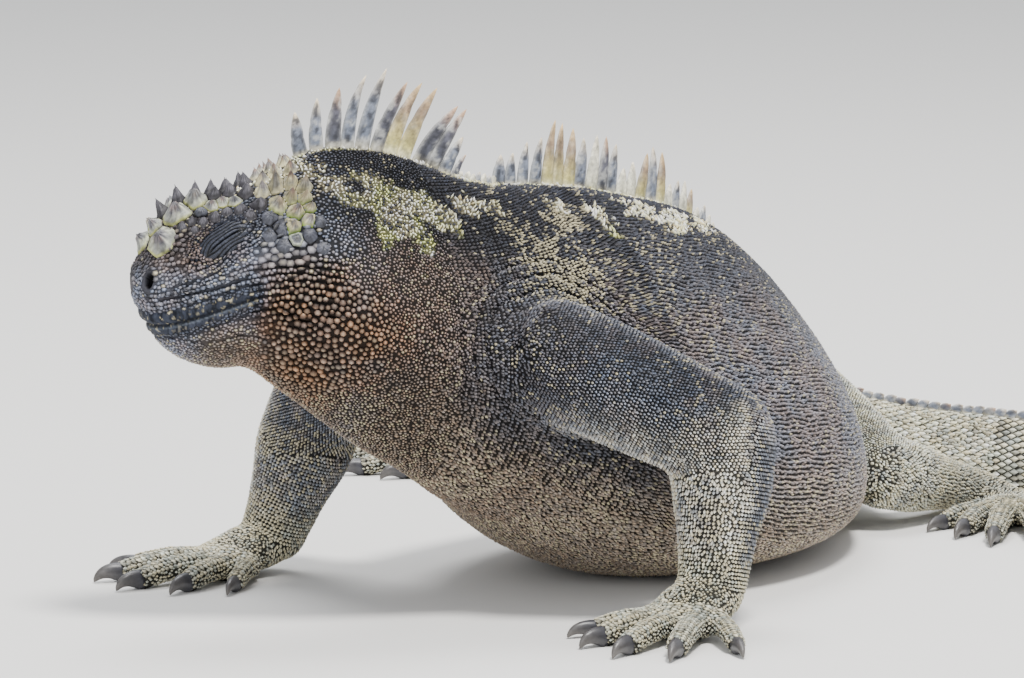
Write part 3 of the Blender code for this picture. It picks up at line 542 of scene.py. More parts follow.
LIMBS = {}
for side_name in SIDES:
    for kind, joints, upper, lower in (
        ("arm", ARMS[side_name], UPPER_ARM, FOREARM), ("leg", LEGS[side_name], THIGH, SHIN),
    ):
        LIMBS[f"{kind}_{side_name}"] = (joints, upper, lower)
PAWS = {}
for side_name in SIDES:
    PAWS[f"hand_{side_name}"] = paw_shapes(
        side_name, ARMS[side_name], WRIST, HAND_HEADINGS[side_name], HAND)
    PAWS[f"foot_{side_name}"] = paw_shapes(
        side_name, LEGS[side_name], ANKLE, FOOT_HEADINGS[side_name], FOOT)

PLAN_TREE = KDTree(len(BACKBONE[0]))
for index, spot in enumerate(BACKBONE[1]):
    PLAN_TREE.insert((spot[0], spot[1], 0.0), index)
PLAN_TREE.balance()


def backbone_place(points):
    """Distance behind the snout, sideways distance and height share of points on the body."""
    nearest = np.array([PLAN_TREE.find((x, y, 0.0))[1] for x, y in points[:, :2]])
    _, plan, step = BACKBONE
    away = points[:, :2] - plan[nearest]
    s = nearest + np.einsum("ij,ij->i", away, step[nearest])
    s = np.clip(s, 0, TAIL_END)
    sideways = away[:, 1] * step[nearest, 0] - away[:, 0] * step[nearest, 1]
    sizes = curve_through(SECTIONS, s)
    share = (points[:, 2] - sizes[:, 1]) / (sizes[:, 0] - sizes[:, 1])
    return s, sideways, share


def limb_masks(points):
    """How much each point belongs to an arm, a leg or a paw, and the share along the limb."""
    masks = {"arm": np.zeros(len(points)), "leg": np.zeros(len(points)), "paw": np.zeros(len(points))}
    along = np.zeros(len(points))
    for name, (joints, upper, lower) in LIMBS.items():
        kind = name.split("_")[0]
        for part, (start, end, profile) in enumerate(
            ((joints[0], joints[1], upper), (joints[1], joints[2], lower))
        ):
            distance, share, _ = along_segment(points, start, end)
            radius = curve_through(profile, share).mean(axis=1)
            here = eased(distance - radius, 5.0, 0.5)
            if part == 0:
                here = here * eased(share, 0.02, 0.3)
            more = here > masks[kind]
            along = np.where(more & (here > 0.3), share + part, along)
            masks[kind] = np.maximum(masks[kind], here)
    for name, (palm, digits) in PAWS.items():
        centre = palm[-2].mean(axis=0)
        wrist = palm[1].mean(axis=0)
        distance, _, _ = along_segment(points, wrist, centre)
        near = eased(distance, 24, 17) * eased(points[:, 2], 30, 16)
        for _, path, _, _ in digits:
            distance, _, _ = along_segment(points, path[0], path[-1])
            near = np.maximum(near, eased(distance, 9, 6.5))
        masks["paw"] = np.maximum(masks["paw"], near)
    return masks, along


def side_point(s, height, side):
    """Point and outward normal of the trunk at a height on one side (-1 left, 1 right)."""
    turns = np.linspace(0.001, 0.499, 400)
    if side > 0:
        turns = 1 - turns
    spots = trunk_points(np.full(400, float(s)), turns)
    k = int(np.argmin(np.abs(spots[:, 2] - height)))
    return spots[k], trunk_normal(np.array([float(s)]), turns[k:k + 1])[0], turns[k]


def slanted_axes(normal, s, slant):
    """In-plane long axis rising backward, in-plane short axis and the normal."""
    forward = np.array([*on_backbone(s)[1][0], 0.0])
    flat = unit(forward - normal * np.dot(forward, normal))
    upward = np.cross(normal, flat)
    if upward[2] < 0:
        upward = -upward
    long = flat * math.cos(slant) + upward * math.sin(slant)
    short = upward * math.cos(slant) - flat * math.sin(slant)
    return long, short, normal


# The skin.

VOXEL = 1.15


def trunk_tree():
    """A tree of points on the trunk with the distance and turn of each."""
    rows = np.concatenate([np.arange(0, 120, 1.5), np.arange(120, 440, 2.5), np.arange(440, TAIL_END, 5)])
    turns = np.arange(128) / 128
    points = trunk_points(rows[:, None], turns[None, :])
    tree = KDTree(points.shape[0] * points.shape[1])
    for k, spot in enumerate(points.reshape(-1, 3)):
        tree.insert(spot, k)
    tree.balance()
    return tree, rows, turns


TRUNK_TREE, TREE_ROWS, TREE_TURNS = trunk_tree()


def turns_of(points):
    """The turn round the trunk nearest each point."""
    found = np.array([TRUNK_TREE.find(p)[1] for p in points.tolist()])
    return TREE_TURNS[found % len(TREE_TURNS)]


def raw_skin():
    """Trunk, tail, limbs and paws as one closed surface of even squares."""
    rows = np.concatenate([
        np.linspace(0, 12, 14), np.arange(13.5, 440, 2.5), np.arange(440, TAIL_TIP, 4.0), [TAIL_TIP],
    ])
    pieces = [tube(trunk_points(rows[:, None], (np.arange(112) / 112)[None, :]))]
    for name, (joints, upper, lower) in LIMBS.items():
        pieces.append(tube(limb_rings(joints[0], joints[1], upper, (0, 0, 1))))
        up = (1, 0, 0) if name.startswith("arm") else (0, 0, 1)
        pieces.append(tube(limb_rings(joints[1], joints[2], lower, up)))
    for palm, digits in PAWS.values():
        pieces.append(tube(palm))
        for rings, _, _, _ in digits:
            pieces.append(tube(rings))
    verts, faces, first = [], [], 0
    for own, own_faces in pieces:
        verts.append(own)
        faces.extend([[v + first for v in face] for face in own_faces])
        first += len(own)
    skin = mesh_object("skin", np.concatenate(verts), faces)
    step = skin.modifiers.new("one_surface", "REMESH")
    step.mode = "VOXEL"
    step.voxel_size = VOXEL * MM
    graph = bpy.context.evaluated_depsgraph_get()
    mesh = bpy.data.meshes.new_from_object(skin.evaluated_get(graph), depsgraph=graph)
    skin.modifiers.clear()
    old = skin.data
    skin.data = mesh
    bpy.data.meshes.remove(old)
    return skin


def only_largest(mesh):
    """Drop every loose scrap of a mesh."""
    edges = edges_of(mesh)
    label = np.arange(len(mesh.vertices))
    while True:
        low = np.minimum(label[edges[:, 0]], label[edges[:, 1]])
        fresh = label.copy()
        np.minimum.at(fresh, edges[:, 0], low)
        np.minimum.at(fresh, edges[:, 1], low)
        fresh = fresh[fresh]
        if (fresh == label).all():
            break
        label = fresh
    names, counts = np.unique(label, return_counts=True)
    if len(names) == 1:
        return
    keep = names[np.argmax(counts)]
    shape = bmesh.new()
    shape.from_mesh(mesh)
    shape.verts.ensure_lookup_table()
    away = [shape.verts[k] for k in np.nonzero(label != keep)[0]]
    bmesh.ops.delete(shape, geom=away, context="VERTS")
    shape.to_mesh(mesh)
    shape.free()


def lens_place(points, centre, long, short, sizes):
    """Place of points in a lens on the surface: along, across and the lens radius."""
    away = points - centre
    x, y = away @ long, away @ short
    return x, y, np.sqrt((x / sizes[0]) ** 2 + (y / sizes[1]) ** 2)


def side_features():
    """For each side, the places and axes of the nostril, eye and ear."""
    made = {}
    for name, side in SIDES.items():
        here = {}
        for key, (s, height), slant in (
            ("nostril", NOSTRIL, math.radians(70)), ("eye", EYE, EYE_SLANT), ("ear", EAR, math.radians(80)),
        ):
            spot, normal, _ = side_point(s, height, side)
            here[key] = (spot, *slanted_axes(normal, 30.0, slant))
        made[name] = here
    return made


FEATURES = side_features()


def lip_height(s):
    """How far the smooth band of the upper lip reaches over the mouth's line."""
    return np.interp(s, (0, 8, 26, 42), (4.2, 5.4, 4.2, 2.2))


def slit_rings(x, y):
    """Distance from the lids' slit in pointed rings, from places along and across the eye."""
    high = np.abs(y - (0.06 * x - 0.7 - 0.010 * x**2))
    flat = np.maximum(np.abs(x) - 3.6, 0) * 0.34
    return (high + np.sqrt(high**2 + 4 * flat**2)) / 2


def lid_folds(x, y):
    """Depth of the fine folds that run round the slit, 0 on their crests and 1 in their grooves."""
    rings = slit_rings(x, y)
    warp = 0.4 * np.sin(x * 0.42 + 0.8) * eased(rings, 1.2, 3.5)
    return (0.5 + 0.5 * np.cos((rings + warp - 1.5) * 2 * math.pi / 1.25)) ** 5 * eased(rings, 0.7, 1.2)


def cheek_folds(s, height):
    """The same for the wrinkles that run back from the mouth's corner and the eye."""
    line = height - 2.8 * np.sin(np.clip((s - 36) / 36, 0, 1) * math.pi)
    grooves = (0.5 + 0.5 * np.cos(line * 2 * math.pi / 2.35)) ** 2.5
    window = eased(s, 36, 43) * eased(s, 74, 64) * eased(height, 106, 112) * eased(height, 134, 129)
    return grooves * window


def snout_rows(s, above):
    """The same for the rows of granules that follow the lips."""
    grooves = (0.5 + 0.5 * np.cos((above - 6.0) * 2 * math.pi / 1.45)) ** 2
    return grooves * eased(above, 5, 6) * eased(above, 14, 11) * eased(s, 2, 6) * eased(s, 46, 40)


def mouth_height(s):
    table = np.array(MOUTH)
    return np.interp(s, table[:, 0], table[:, 1])


def face_relief(points, s, sideways, lateral):
    """How far the head's skin stands out from the plain form, in millimetres."""
    out = np.zeros(len(points))
    height = points[:, 2]
    above = height - mouth_height(s)
    along = eased(s, MOUTH_CORNER + 1.5, MOUTH_CORNER - 2.5)
    facing = np.maximum(lateral, eased(s, 12, 6))
    lips = along * facing
    out += lips * (-1.15 * bump(above, 0.62) + 0.62 * bump(above - 2.4, 1.5) + 0.55 * bump(above + 2.3, 1.5))
    out += lips * (-0.42 * bump(above - 5.2, 0.75) - 0.34 * bump(above + 5.0, 0.8))
    out -= lips * 0.34 * (0.5 + 0.5 * np.cos(s * 2 * math.pi / 2.3)) ** 4 * bump(np.abs(above) - 2.4, 1.7)
    out += lips * 0.3 * (layered_noise(points, 1.6, 55, 2) - 0.5)
    # creases that run back from the nostril and under the eye
    for (s0, h0), (s1, h1), sag, depth in (
        ((8, 117.5), (40, 126.5), -1.2, 1.0), ((12, 121.5), (30, 128), -0.6, 0.7),
        ((14, 128.5), (24, 131.8), 0.4, 0.6), ((41, 116), (60, 108), 1.4, 1.0),
        ((30, 108), (48, 104), -1.0, 0.6), ((10, 104), (38, 106), -2.0, 0.5),
    ):
        share = np.clip((s - s0) / (s1 - s0), 0, 1)
        line = h0 + (h1 - h0) * share + sag * np.sin(share * math.pi)
        ends = eased(s, s0 - 2, s0 + 3) * eased(s, s1 + 2, s1 - 3)
        out -= depth * ends * bump(height - line, 0.75) * lateral
        out += depth * 0.5 * ends * bump(height - line - 1.6, 1.1) * lateral
    out -= (0.85 * cheek_folds(s, height) + 0.3 * snout_rows(s, above)) * lateral
    # the brow over the eye, and the ridge from it to the nostril
    share = np.clip((s - 17) / 28, 0, 1)
    brow = 142.6 + 4.4 * share
    out += 1.0 * bump(height - brow, 2.6) * eased(s, 12, 20) * eased(s, 50, 42) * lateral
    out += lateral * bump(s - 64, 13) * bump(height - 101, 20) * 0.9
    for name, side in SIDES.items():
        here = (sideways * side > 0) | (np.abs(sideways) < 3)
        eye, long, short, normal = FEATURES[name]["eye"]
        x, y, rho = lens_place(points, eye, long, short, EYE_SIZE)
        near = here & (rho < 3.2) & (np.abs((points - eye) @ normal) < 12)
        rings = slit_rings(x, y)
        fade = eased(rings, 11, 6) * np.where(y > 0, eased(y, 11, 6), 1.0)
        out += np.where(near, -2.4 * eased(rho, 0.93, 0.80) + 0.5 * bump(rho - 1.0, 0.25), 0)
        out -= np.where(near, 0.8 * lid_folds(x, y) * fade, 0)
        spot, long, short, normal = FEATURES[name]["nostril"]
        _, _, rho = lens_place(points, spot, long, short, NOSTRIL_SIZE)
        near = here & (rho < 3) & (np.abs((points - spot) @ normal) < 6)
        out += np.where(near, -2.8 * eased(rho, 1.05, 0.45) + 1.0 * bump(rho - 1.32, 0.28), 0)
        spot, long, short, normal = FEATURES[name]["ear"]
        _, _, rho = lens_place(points, spot, long, short, (5.4, 4.1))
        near = here & (rho < 3) & (np.abs((points - spot) @ normal) < 8)
        out += np.where(near, -0.8 * eased(rho, 1.02, 0.72), 0)
    return out


def shoulder_folds(points, masks):
    """Folds of skin round the root of each arm."""
    out = np.zeros(len(points))
    for name, side in SIDES.items():
        joints, upper, _ = LIMBS[f"arm_{name}"]
        distance, share, nearest = along_segment(points, joints[0], joints[1])
        warp = (layered_noise(points, 14.0, 3, 2) - 0.5) * 7
        beyond = distance - 22.0 + warp
        away = points - nearest
        facing = unit(away)
        front = eased(facing[:, 2] - 0.55 * facing[:, 0], -0.55, 0.35)
        window = eased(beyond, 0.0, 3.0) * eased(beyond, 22, 12)
        waves = 0.5 - 0.5 * np.cos(beyond * 2 * math.pi / 5.0)
        own_side = eased(points[:, 1] * side, -5, 12)
        out -= 1.9 * (1 - waves) ** 3.5 * window * front * own_side * (1 - masks["arm"])
    return out


def neck_folds(points, s, share):
    """Slack folds across the throat and the sides of the neck."""
    warp = (layered_noise(points, 22.0, 9, 2) - 0.5) * 12
    waves = 0.5 + 0.5 * np.cos((s + 0.35 * (share - 0.5) * 60 + warp) * 2 * math.pi / 7.5)
    window = eased(s, 84, 96) * eased(s, 134, 116) * eased(share, 0.82, 0.5) * eased(share, -0.05, 0.1)
    return -0.75 * waves**2 * window


def build_skin():
    """The finished skin with its relief, standing on the floor."""
    skin = raw_skin()
    mesh = skin.data
    only_largest(mesh)
    points = coordinates(mesh)
    s, sideways, share = backbone_place(points)
    masks, along = limb_masks(points)
    limb = np.maximum(np.maximum(masks["arm"], masks["leg"]), masks["paw"])
    trunk = eased(s, 66, 88) * eased(s, 440, 410)
    weight = np.maximum(trunk, np.maximum(masks["arm"], masks["leg"]))
    weight = np.where((s < 90) & (limb > 0.05) & (points[:, 2] < 80), 1.0, weight)
    weight = weight * (1 - 0.88 * masks["paw"]) + 0.05
    points = relaxed(points, edges_of(mesh), np.clip(weight, 0, 1), 30)
    put_coordinates(mesh, points)
    shape = bmesh.new()
    shape.from_mesh(mesh)
    shape.verts.ensure_lookup_table()
    fine = (s < 76) & (limb < 0.05) & (points[:, 2] > 60)
    edges = [e for e in shape.edges if fine[e.verts[0].index] and fine[e.verts[1].index]]
    bmesh.ops.subdivide_edges(shape, edges=edges, cuts=1, use_grid_fill=True)
    shape.to_mesh(mesh)
    shape.free()
    points = coordinates(mesh)
    s, sideways, share = backbone_place(points)
    head = (s < 80) & (points[:, 2] > 55)
    points = relaxed(points, edges_of(mesh), head.astype(float), 3)
    put_coordinates(mesh, points)
    normal = normals_of(mesh)
    s, sideways, share = backbone_place(points)
    masks, along = limb_masks(points)
    limb = np.maximum(np.maximum(masks["arm"], masks["leg"]), masks["paw"])
    _, way = on_backbone(s)
    across = np.column_stack([-way[:, 1], way[:, 0], np.zeros(len(s))])
    lateral = eased(np.abs(np.einsum("ij,ij->i", normal, across)), 0.2, 0.5)
    relief = np.zeros(len(points))
    head = (s < 84) & (points[:, 2] > 55) & (limb < 0.5)
    relief[head] = face_relief(points[head], s[head], sideways[head], lateral[head]) * eased(s[head], 84, 70)
    relief += shoulder_folds(points, masks) + neck_folds(points, s, share) * (1 - limb)
    relief += (layered_noise(points, 16.0, 5, 2) - 0.5) * 0.7 * (1 - masks["paw"]) * eased(s, 60, 90)
    relief -= COAT * eased(points[:, 2], 0.3, 1.5)
    points = points + normal * relief[:, None]
    points[:, 2] = np.maximum(points[:, 2], 0.0)
    put_coordinates(mesh, points)
    mesh.polygons.foreach_set("use_smooth", np.ones(len(mesh.polygons), bool))
    return skin


# Colours, the same for skin and scales.

CRUST = (  # distance, turn, reach along and round, share of moss
    (40, 0.026, 6, 0.020, 0.1), (50, 0.036, 6, 0.030, 0.2), (58, 0.032, 5, 0.022, 0.1),
    (63, 0.064, 4.5, 0.021, 0.1), (69, 0.094, 5, 0.018, 0.2), (75, 0.114, 6, 0.018, 0.5),
    (80, 0.086, 6, 0.016, 0.5), (87, 0.110, 10, 0.028, 0.7), (97, 0.112, 10, 0.024, 0.6),
    (89, 0.142, 10, 0.027, 1.0), (95, 0.158, 5, 0.014, 1.0), (104, 0.108, 6, 0.014, 0.3),
    (112, 0.086, 8, 0.015, 0.2), (121, 0.074, 7, 0.012, 0.1), (155, 0.062, 6, 0.012, 0.1),
    (173, 0.068, 9, 0.016, 0.2), (171, 0.090, 4, 0.010, 0.8), (200, 0.052, 12, 0.018, 0.1),
    (212, 0.070, 8, 0.012, 0.2), (224, 0.056, 10, 0.017, 0.1), (238, 0.048, 9, 0.012, 0.1),
)


def crust_masks(points, s, turn):
    """Where the pale crust lies, and how mossy it is."""
    fold = np.minimum(turn, 1 - turn)
    reach = np.zeros(len(s))
    mossy = np.zeros(len(s))
    for s0, t0, rs, rt, moss in CRUST:
        here = np.exp(-((s - s0) / rs) ** 2 - ((fold - t0) / rt) ** 2)
        mossy = np.where(here > reach, moss, mossy)
        reach = np.maximum(reach, here)
    ragged = 0.6 * layered_noise(points, 6.0, 21, 2) + 0.4 * layered_noise(points, 2.4, 24, 2)
    mask = eased(reach + 1.7 * (ragged - 0.5), 0.40, 0.52) * eased(reach, 0.02, 0.1)
    mask = mask * (1 - eased(fold, 0.068, 0.056) * eased(s, 90, 100) * eased(s, 150, 138))
    ledge = 0.019 - 0.008 * eased(s, 110, 150) + 0.016 * (layered_noise(points, 4.0, 8, 2) - 0.5)
    foot = eased(fold, ledge, ledge - 0.004) * eased(s, 55, 58) * eased(s, 296, 276)
    mossy = np.where(foot > mask, 0.45, mossy)
    return np.maximum(mask, foot), mossy * eased(layered_noise(points, 6.0, 33, 2), 0.25, 0.6)


def mixed(base, other, share):
    return base + (other - base) * np.asarray(share)[:, None]


def jowl_reach(s, height):
    """How far the beaded jowl reaches: 1 at its middle, 0 at its edge."""
    reach = 1 - np.hypot((s - 58) / 31, (height - 105) / 29)
    return np.clip(reach * 1.6, -1, 1) * eased(s, 32, 56)


def backward(name):
    """The level way to an arm's rear and outer face."""
    return np.array([0.64, 0.77 * SIDES[name], 0.0])


def arm_marks(points, fine, broad):
    """Shares of the arms' marks: pale front, strip and low part, dark rear, top and root; on the right arm the pale
    front and low part are dimmed as painted shade.
    """
    n = len(points)
    marks = {key: np.zeros(n) for key in ("front", "strip", "low", "rear", "top", "root")}
    least = np.full(n, np.inf)
    for name in SIDES:
        shoulder, elbow, wrist = (np.asarray(joint, float) for joint in LIMBS[f"arm_{name}"][0])
        down = unit(wrist - elbow)
        below = (points - elbow) @ down
        offset = points - elbow - below[:, None] * down
        back = offset @ backward(name) / np.maximum(np.linalg.norm(offset, axis=1), 1.0)
        ragged = below + 16 * (fine - 0.5)
        distance, _, nearest = along_segment(points, shoulder, elbow)
        # The right arm's pale front and low part are dimmed to 0.35 of the left's: painted shade, since the right
        # arm lies in shade.
        pale = 0.35 if name == "right" else 1.0
        own = {
            "front": pale * eased(ragged, -12, 18),
            "strip": bump(back - 0.25 + 0.7 * (broad - 0.5), 0.34) * eased(ragged, -18, 0) * eased(ragged, 60, 42),
            "low": pale * eased(ragged, 28, 58),
            "rear": eased(back + 0.4 * (fine - 0.5), 0.45, 0.8) * eased(ragged, -8, 8) * eased(ragged, 64, 42),
            "top": eased((points - nearest)[:, 2], 5, 17) * eased(ragged, 14, -4),
            "root": eased(distance + 16 * (fine - 0.5) + 10 * (broad - 0.5), 48, 22),
        }
        from_elbow = np.linalg.norm(points - elbow, axis=1)
        closer = from_elbow < least
        for key, value in own.items():
            marks[key] = np.where(closer, value, marks[key])
        least = np.minimum(least, from_elbow)
    return marks


def markings(points, s, share, turn, masks, along):
    """The hide's colour at points on the body."""
    n = len(points)
    broad = layered_noise(points, 26.0, 1, 3)
    fine = layered_noise(points, 7.0, 2, 3)
    height = points[:, 2]
    colour = np.tile(FLANK, (n, 1))
    worn = eased(0.5 * broad + 0.5 * fine, 0.44, 0.62)
    colour = mixed(colour, RUST, worn * eased(share, 0.15, 0.3) * eased(share, 0.92, 0.7) * 0.55)
    colour = mixed(colour, CHARCOAL, eased(share, 0.64, 0.95) * 0.72)
    colour = mixed(colour, BELLY, eased(share, 0.42, 0.1) * 0.75)
    neck = eased(s, 70, 88) * eased(s, 150, 112)
    colour = mixed(colour, NECK, neck * eased(share, 0.9, 0.66) * 0.9)
    colour = mixed(colour, CHARCOAL, neck * eased(share, 0.66, 0.92) * 0.75)
    colour = mixed(colour, THROAT, neck * eased(share, 0.45, 0.15) * 0.85)
    head = eased(s, 80, 64)
    colour = mixed(colour, HEAD_GREY, head)
    tan = eased(height, 124, 131) * eased(s, 34, 26) + eased(s, 42, 54) * eased(height, 138, 128)
    colour = mixed(colour, NECK, head * np.clip(tan, 0, 1) * 0.75)
    under = eased(height - (curve_through(SECTIONS, s)[:, 1]), 26, 9)
    colour = mixed(colour, THROAT * 0.8, eased(s, 14, 28) * head * under * 0.9)
    jowl = jowl_reach(s, height) + 0.7 * (fine - 0.5)
    colour = mixed(colour, JOWL, eased(jowl, -0.2, 0.9) * (0.5 + 0.45 * eased(fine, 0.35, 0.6)))
    above = height - mouth_height(s)
    lips = eased(np.abs(above), 7.5, 4.0) * eased(s, 47, 42)
    colour = mixed(colour, LIP, lips * 0.9)
    upper = eased(np.minimum(turn, 1 - turn), 0.2, 0.13) * eased(s, 66, 60)
    colour = mixed(colour, CHARCOAL, upper * 0.7)
    nape = eased(np.minimum(turn, 1 - turn), 0.19, 0.12) * eased(s, 56, 64) * eased(s, 165, 120)
    colour = mixed(colour, CHARCOAL, nape * 0.8)
    upper = eased(share, 0.5, 0.85) * eased(s, 60, 90) * eased(s, 400, 340)
    colour = colour * (1 - 0.3 * upper)[:, None]
    tail = eased(s, 370, 450)
    colour = mixed(colour, TAIL_OLIVE, tail * 0.85)
    colour = mixed(colour, SLATE, tail * eased(fine, 0.45, 0.7) * 0.4)
    arm, leg, paw = masks["arm"], masks["leg"], masks["paw"]
    marks = arm_marks(points, fine, broad)
    colour = mixed(colour, ARM_BLUE * 0.65, marks["root"] * 0.8)
    blotch = eased(layered_noise(points, 3.4, 12, 2), 0.36, 0.54)
    arm_colour = mixed(np.tile(ARM_BLUE, (n, 1)), RUST, eased(fine, 0.45, 0.7) * 0.35)
    arm_colour = mixed(arm_colour, CHARCOAL, marks["top"] * 0.6)
    arm_colour = mixed(arm_colour, FOREARM_TAN, marks["front"] * (0.3 + 0.45 * blotch))
    arm_colour = mixed(arm_colour, FOREARM_TAN, marks["strip"] * (0.2 + 0.75 * blotch))
    arm_colour = mixed(arm_colour, TAIL_OLIVE, marks["low"] * (0.45 + 0.4 * blotch))
    arm_colour = mixed(arm_colour, ARM_BLUE * 0.8, marks["rear"] * 0.9)
    colour = mixed(colour, arm_colour, arm)
    leg_colour = mixed(np.tile(TAIL_OLIVE, (n, 1)), SLATE, eased(fine, 0.35, 0.65) * 0.6)
    colour = mixed(colour, leg_colour, leg)
    colour = mixed(colour, mixed(np.tile(PAW, (n, 1)), TAIL_OLIVE, broad * 0.5), paw)
    limb = np.maximum(np.maximum(arm, leg), paw)
    crust, mossy = crust_masks(points, s, turn)
    crust = crust * (1 - limb)
    band = eased(np.minimum(turn, 1 - turn), 0.062, 0.05) * eased(s, 63, 70) * eased(s, 300, 250)
    colour = mixed(colour, CHARCOAL, band * 0.75 * (1 - limb))
    pale = mixed(np.tile(CREAM, (n, 1)), MOSS_PALE, np.clip(mossy * 1.4, 0, 1))
    pale = mixed(pale, MOSS, np.clip(mossy * 1.5 - 0.5, 0, 1) * 0.8)
    colour = mixed(colour, pale, crust)
    return colour * (0.86 + 0.28 * fine)[:, None], crust


def put_tint(mesh, colour):
    layer = mesh.color_attributes.new("tint", "FLOAT_COLOR", "POINT")
    rgba = np.ones((len(colour), 4), np.float32)
    rgba[:, :3] = np.clip(colour, 0, 1)
    layer.data.foreach_set("color", rgba.ravel())


def lid_tint(x, y):
    """The lids' colour: blue-black in the folds, where the near black of their grooves is painted shade, and
    grey-blue on the fine scales of their crests.
    """
    folds = lid_folds(x, y)
    jitter = lattice_noise(np.column_stack([x * 1.5, y * 1.9, x * 0]), 1.0, 81)
    beads = (0.5 + 0.5 * np.cos(x * 2 * math.pi / 0.72 + 9 * jitter)) * eased(folds, 0.25, 0.0)
    # near black in the folds' grooves: painted shade
    tone = mixed(np.tile(srgb(44, 47, 57), (len(x), 1)), srgb(9, 10, 13), eased(folds, 0.05, 0.6))
    fine = lattice_noise(np.column_stack([x * 2.6, y * 3.0, x * 0 + 5]), 1.0, 82)
    return tone * (0.22 + 0.95 * beads + 0.75 * fine)[:, None]


def dressed_skin():
    """The skin with its colours and its unwrap."""
    skin = build_skin()
    mesh = skin.data
    points = coordinates(mesh)
    s, sideways, share = backbone_place(points)
    masks, along = limb_masks(points)
    turn = turns_of(points)
    colour, crust = markings(points, s, share, turn, masks, along)
    limb = np.maximum(np.maximum(masks["arm"], masks["leg"]), masks["paw"])
    snout = eased(s, 52, 42) * (points[:, 2] > 90) * (1 - limb)
    # The skin between the scales is darkened almost to black, less on the snout and the crust: painted shade in the
    # gaps between scales.
    colour = colour * (0.08 + 0.34 * snout + 0.03 * crust)[:, None]
    above = points[:, 2] - mouth_height(s)
    face = (s < 70) & (points[:, 2] > 80) & (limb < 0.2)
    # The grooves of the cheek folds and of the snout's rows are darkened: painted shade in the grooves.
    grooves = np.maximum(cheek_folds(s, points[:, 2]), snout_rows(s, above)) * face
    colour = colour * (1 - 0.8 * grooves)[:, None]
    lips = face & (s < MOUTH_CORNER) & (np.abs(above) < 9)
    edge = np.where(above > 0, 1.0, 0.75) * lip_height(s) + 0.5
    smooth = np.where(lips, eased(np.abs(above), edge, edge - 1.0), 0)
    worn = 0.1 + 1.7 * layered_noise(points * [1, 1, 0.35], 1.5, 52, 3)
    # Thin dark creases are painted over the lips' own blotches: painted shade of creases.
    creases = eased(layered_noise(points * [1, 1, 0.16], 0.9, 57, 2), 0.56, 0.66)
    worn = worn * (1 - 0.6 * creases)
    colour = mixed(colour, LIP * worn[:, None], smooth)
    specks = eased(lattice_noise(points, 0.75, 53), 0.70, 0.8)
    specks = specks * (0.25 + 0.75 * eased(layered_noise(points, 5.0, 54, 2), 0.4, 0.6))
    colour = mixed(colour, CREAM * 0.75, specks * smooth * 0.8)
    # The line between the lips is darkened: painted shade in the mouth's slit.
    slit = np.where(face & (s < MOUTH_CORNER), bump(above + 0.1, 0.55), 0)
    colour = mixed(colour, srgb(24, 26, 32), slit * 0.85)
    line = np.where(face & (s < MOUTH_CORNER + 2), bump(above + 1.0, 0.34), 0)
    colour = mixed(colour, srgb(150, 160, 172), line * 0.2)
    for name, side in SIDES.items():
        own = face & (sideways * side > -2)
        spot, long, short, _ = FEATURES[name]["nostril"]
        _, _, rho = lens_place(points, spot, long, short, NOSTRIL_SIZE)
        colour = mixed(colour, srgb(58, 58, 64), np.where(own, eased(rho, 1.9, 1.5), 0) * 0.8)
        # The nostril's opening is painted near black: painted shade in the hole.
        colour = mixed(colour, srgb(8, 8, 10), np.where(own, eased(rho, 1.02, 0.8), 0))
        spot, long, short, _normal = FEATURES[name]["eye"]
        x, y, rho = lens_place(points, spot, long, short, EYE_SIZE)
        around = np.where(own & (np.abs((points - spot) @ _normal) < 8), eased(rho, 1.9, 1.3), 0)
        colour = mixed(colour, lid_tint(x, y), around)
    put_tint(mesh, colour)
    put_unwrap(mesh, points, s, turn, masks, along)
    return skin, points


ATLAS = {  # the corner and size of each part's patch on the skin's unwrap
    "trunk": (0.0, 0.0, 1.0, 0.6), "arm_left": (0.0, 0.62, 0.2, 0.18), "arm_right": (0.22, 0.62, 0.2, 0.18),
    "leg_left": (0.44, 0.62, 0.2, 0.18), "leg_right": (0.66, 0.62, 0.2, 0.18),
    "hand_left": (0.0, 0.82, 0.24, 0.18), "hand_right": (0.25, 0.82, 0.24, 0.18),
    "foot_left": (0.5, 0.82, 0.24, 0.18), "foot_right": (0.75, 0.82, 0.24, 0.18),
}


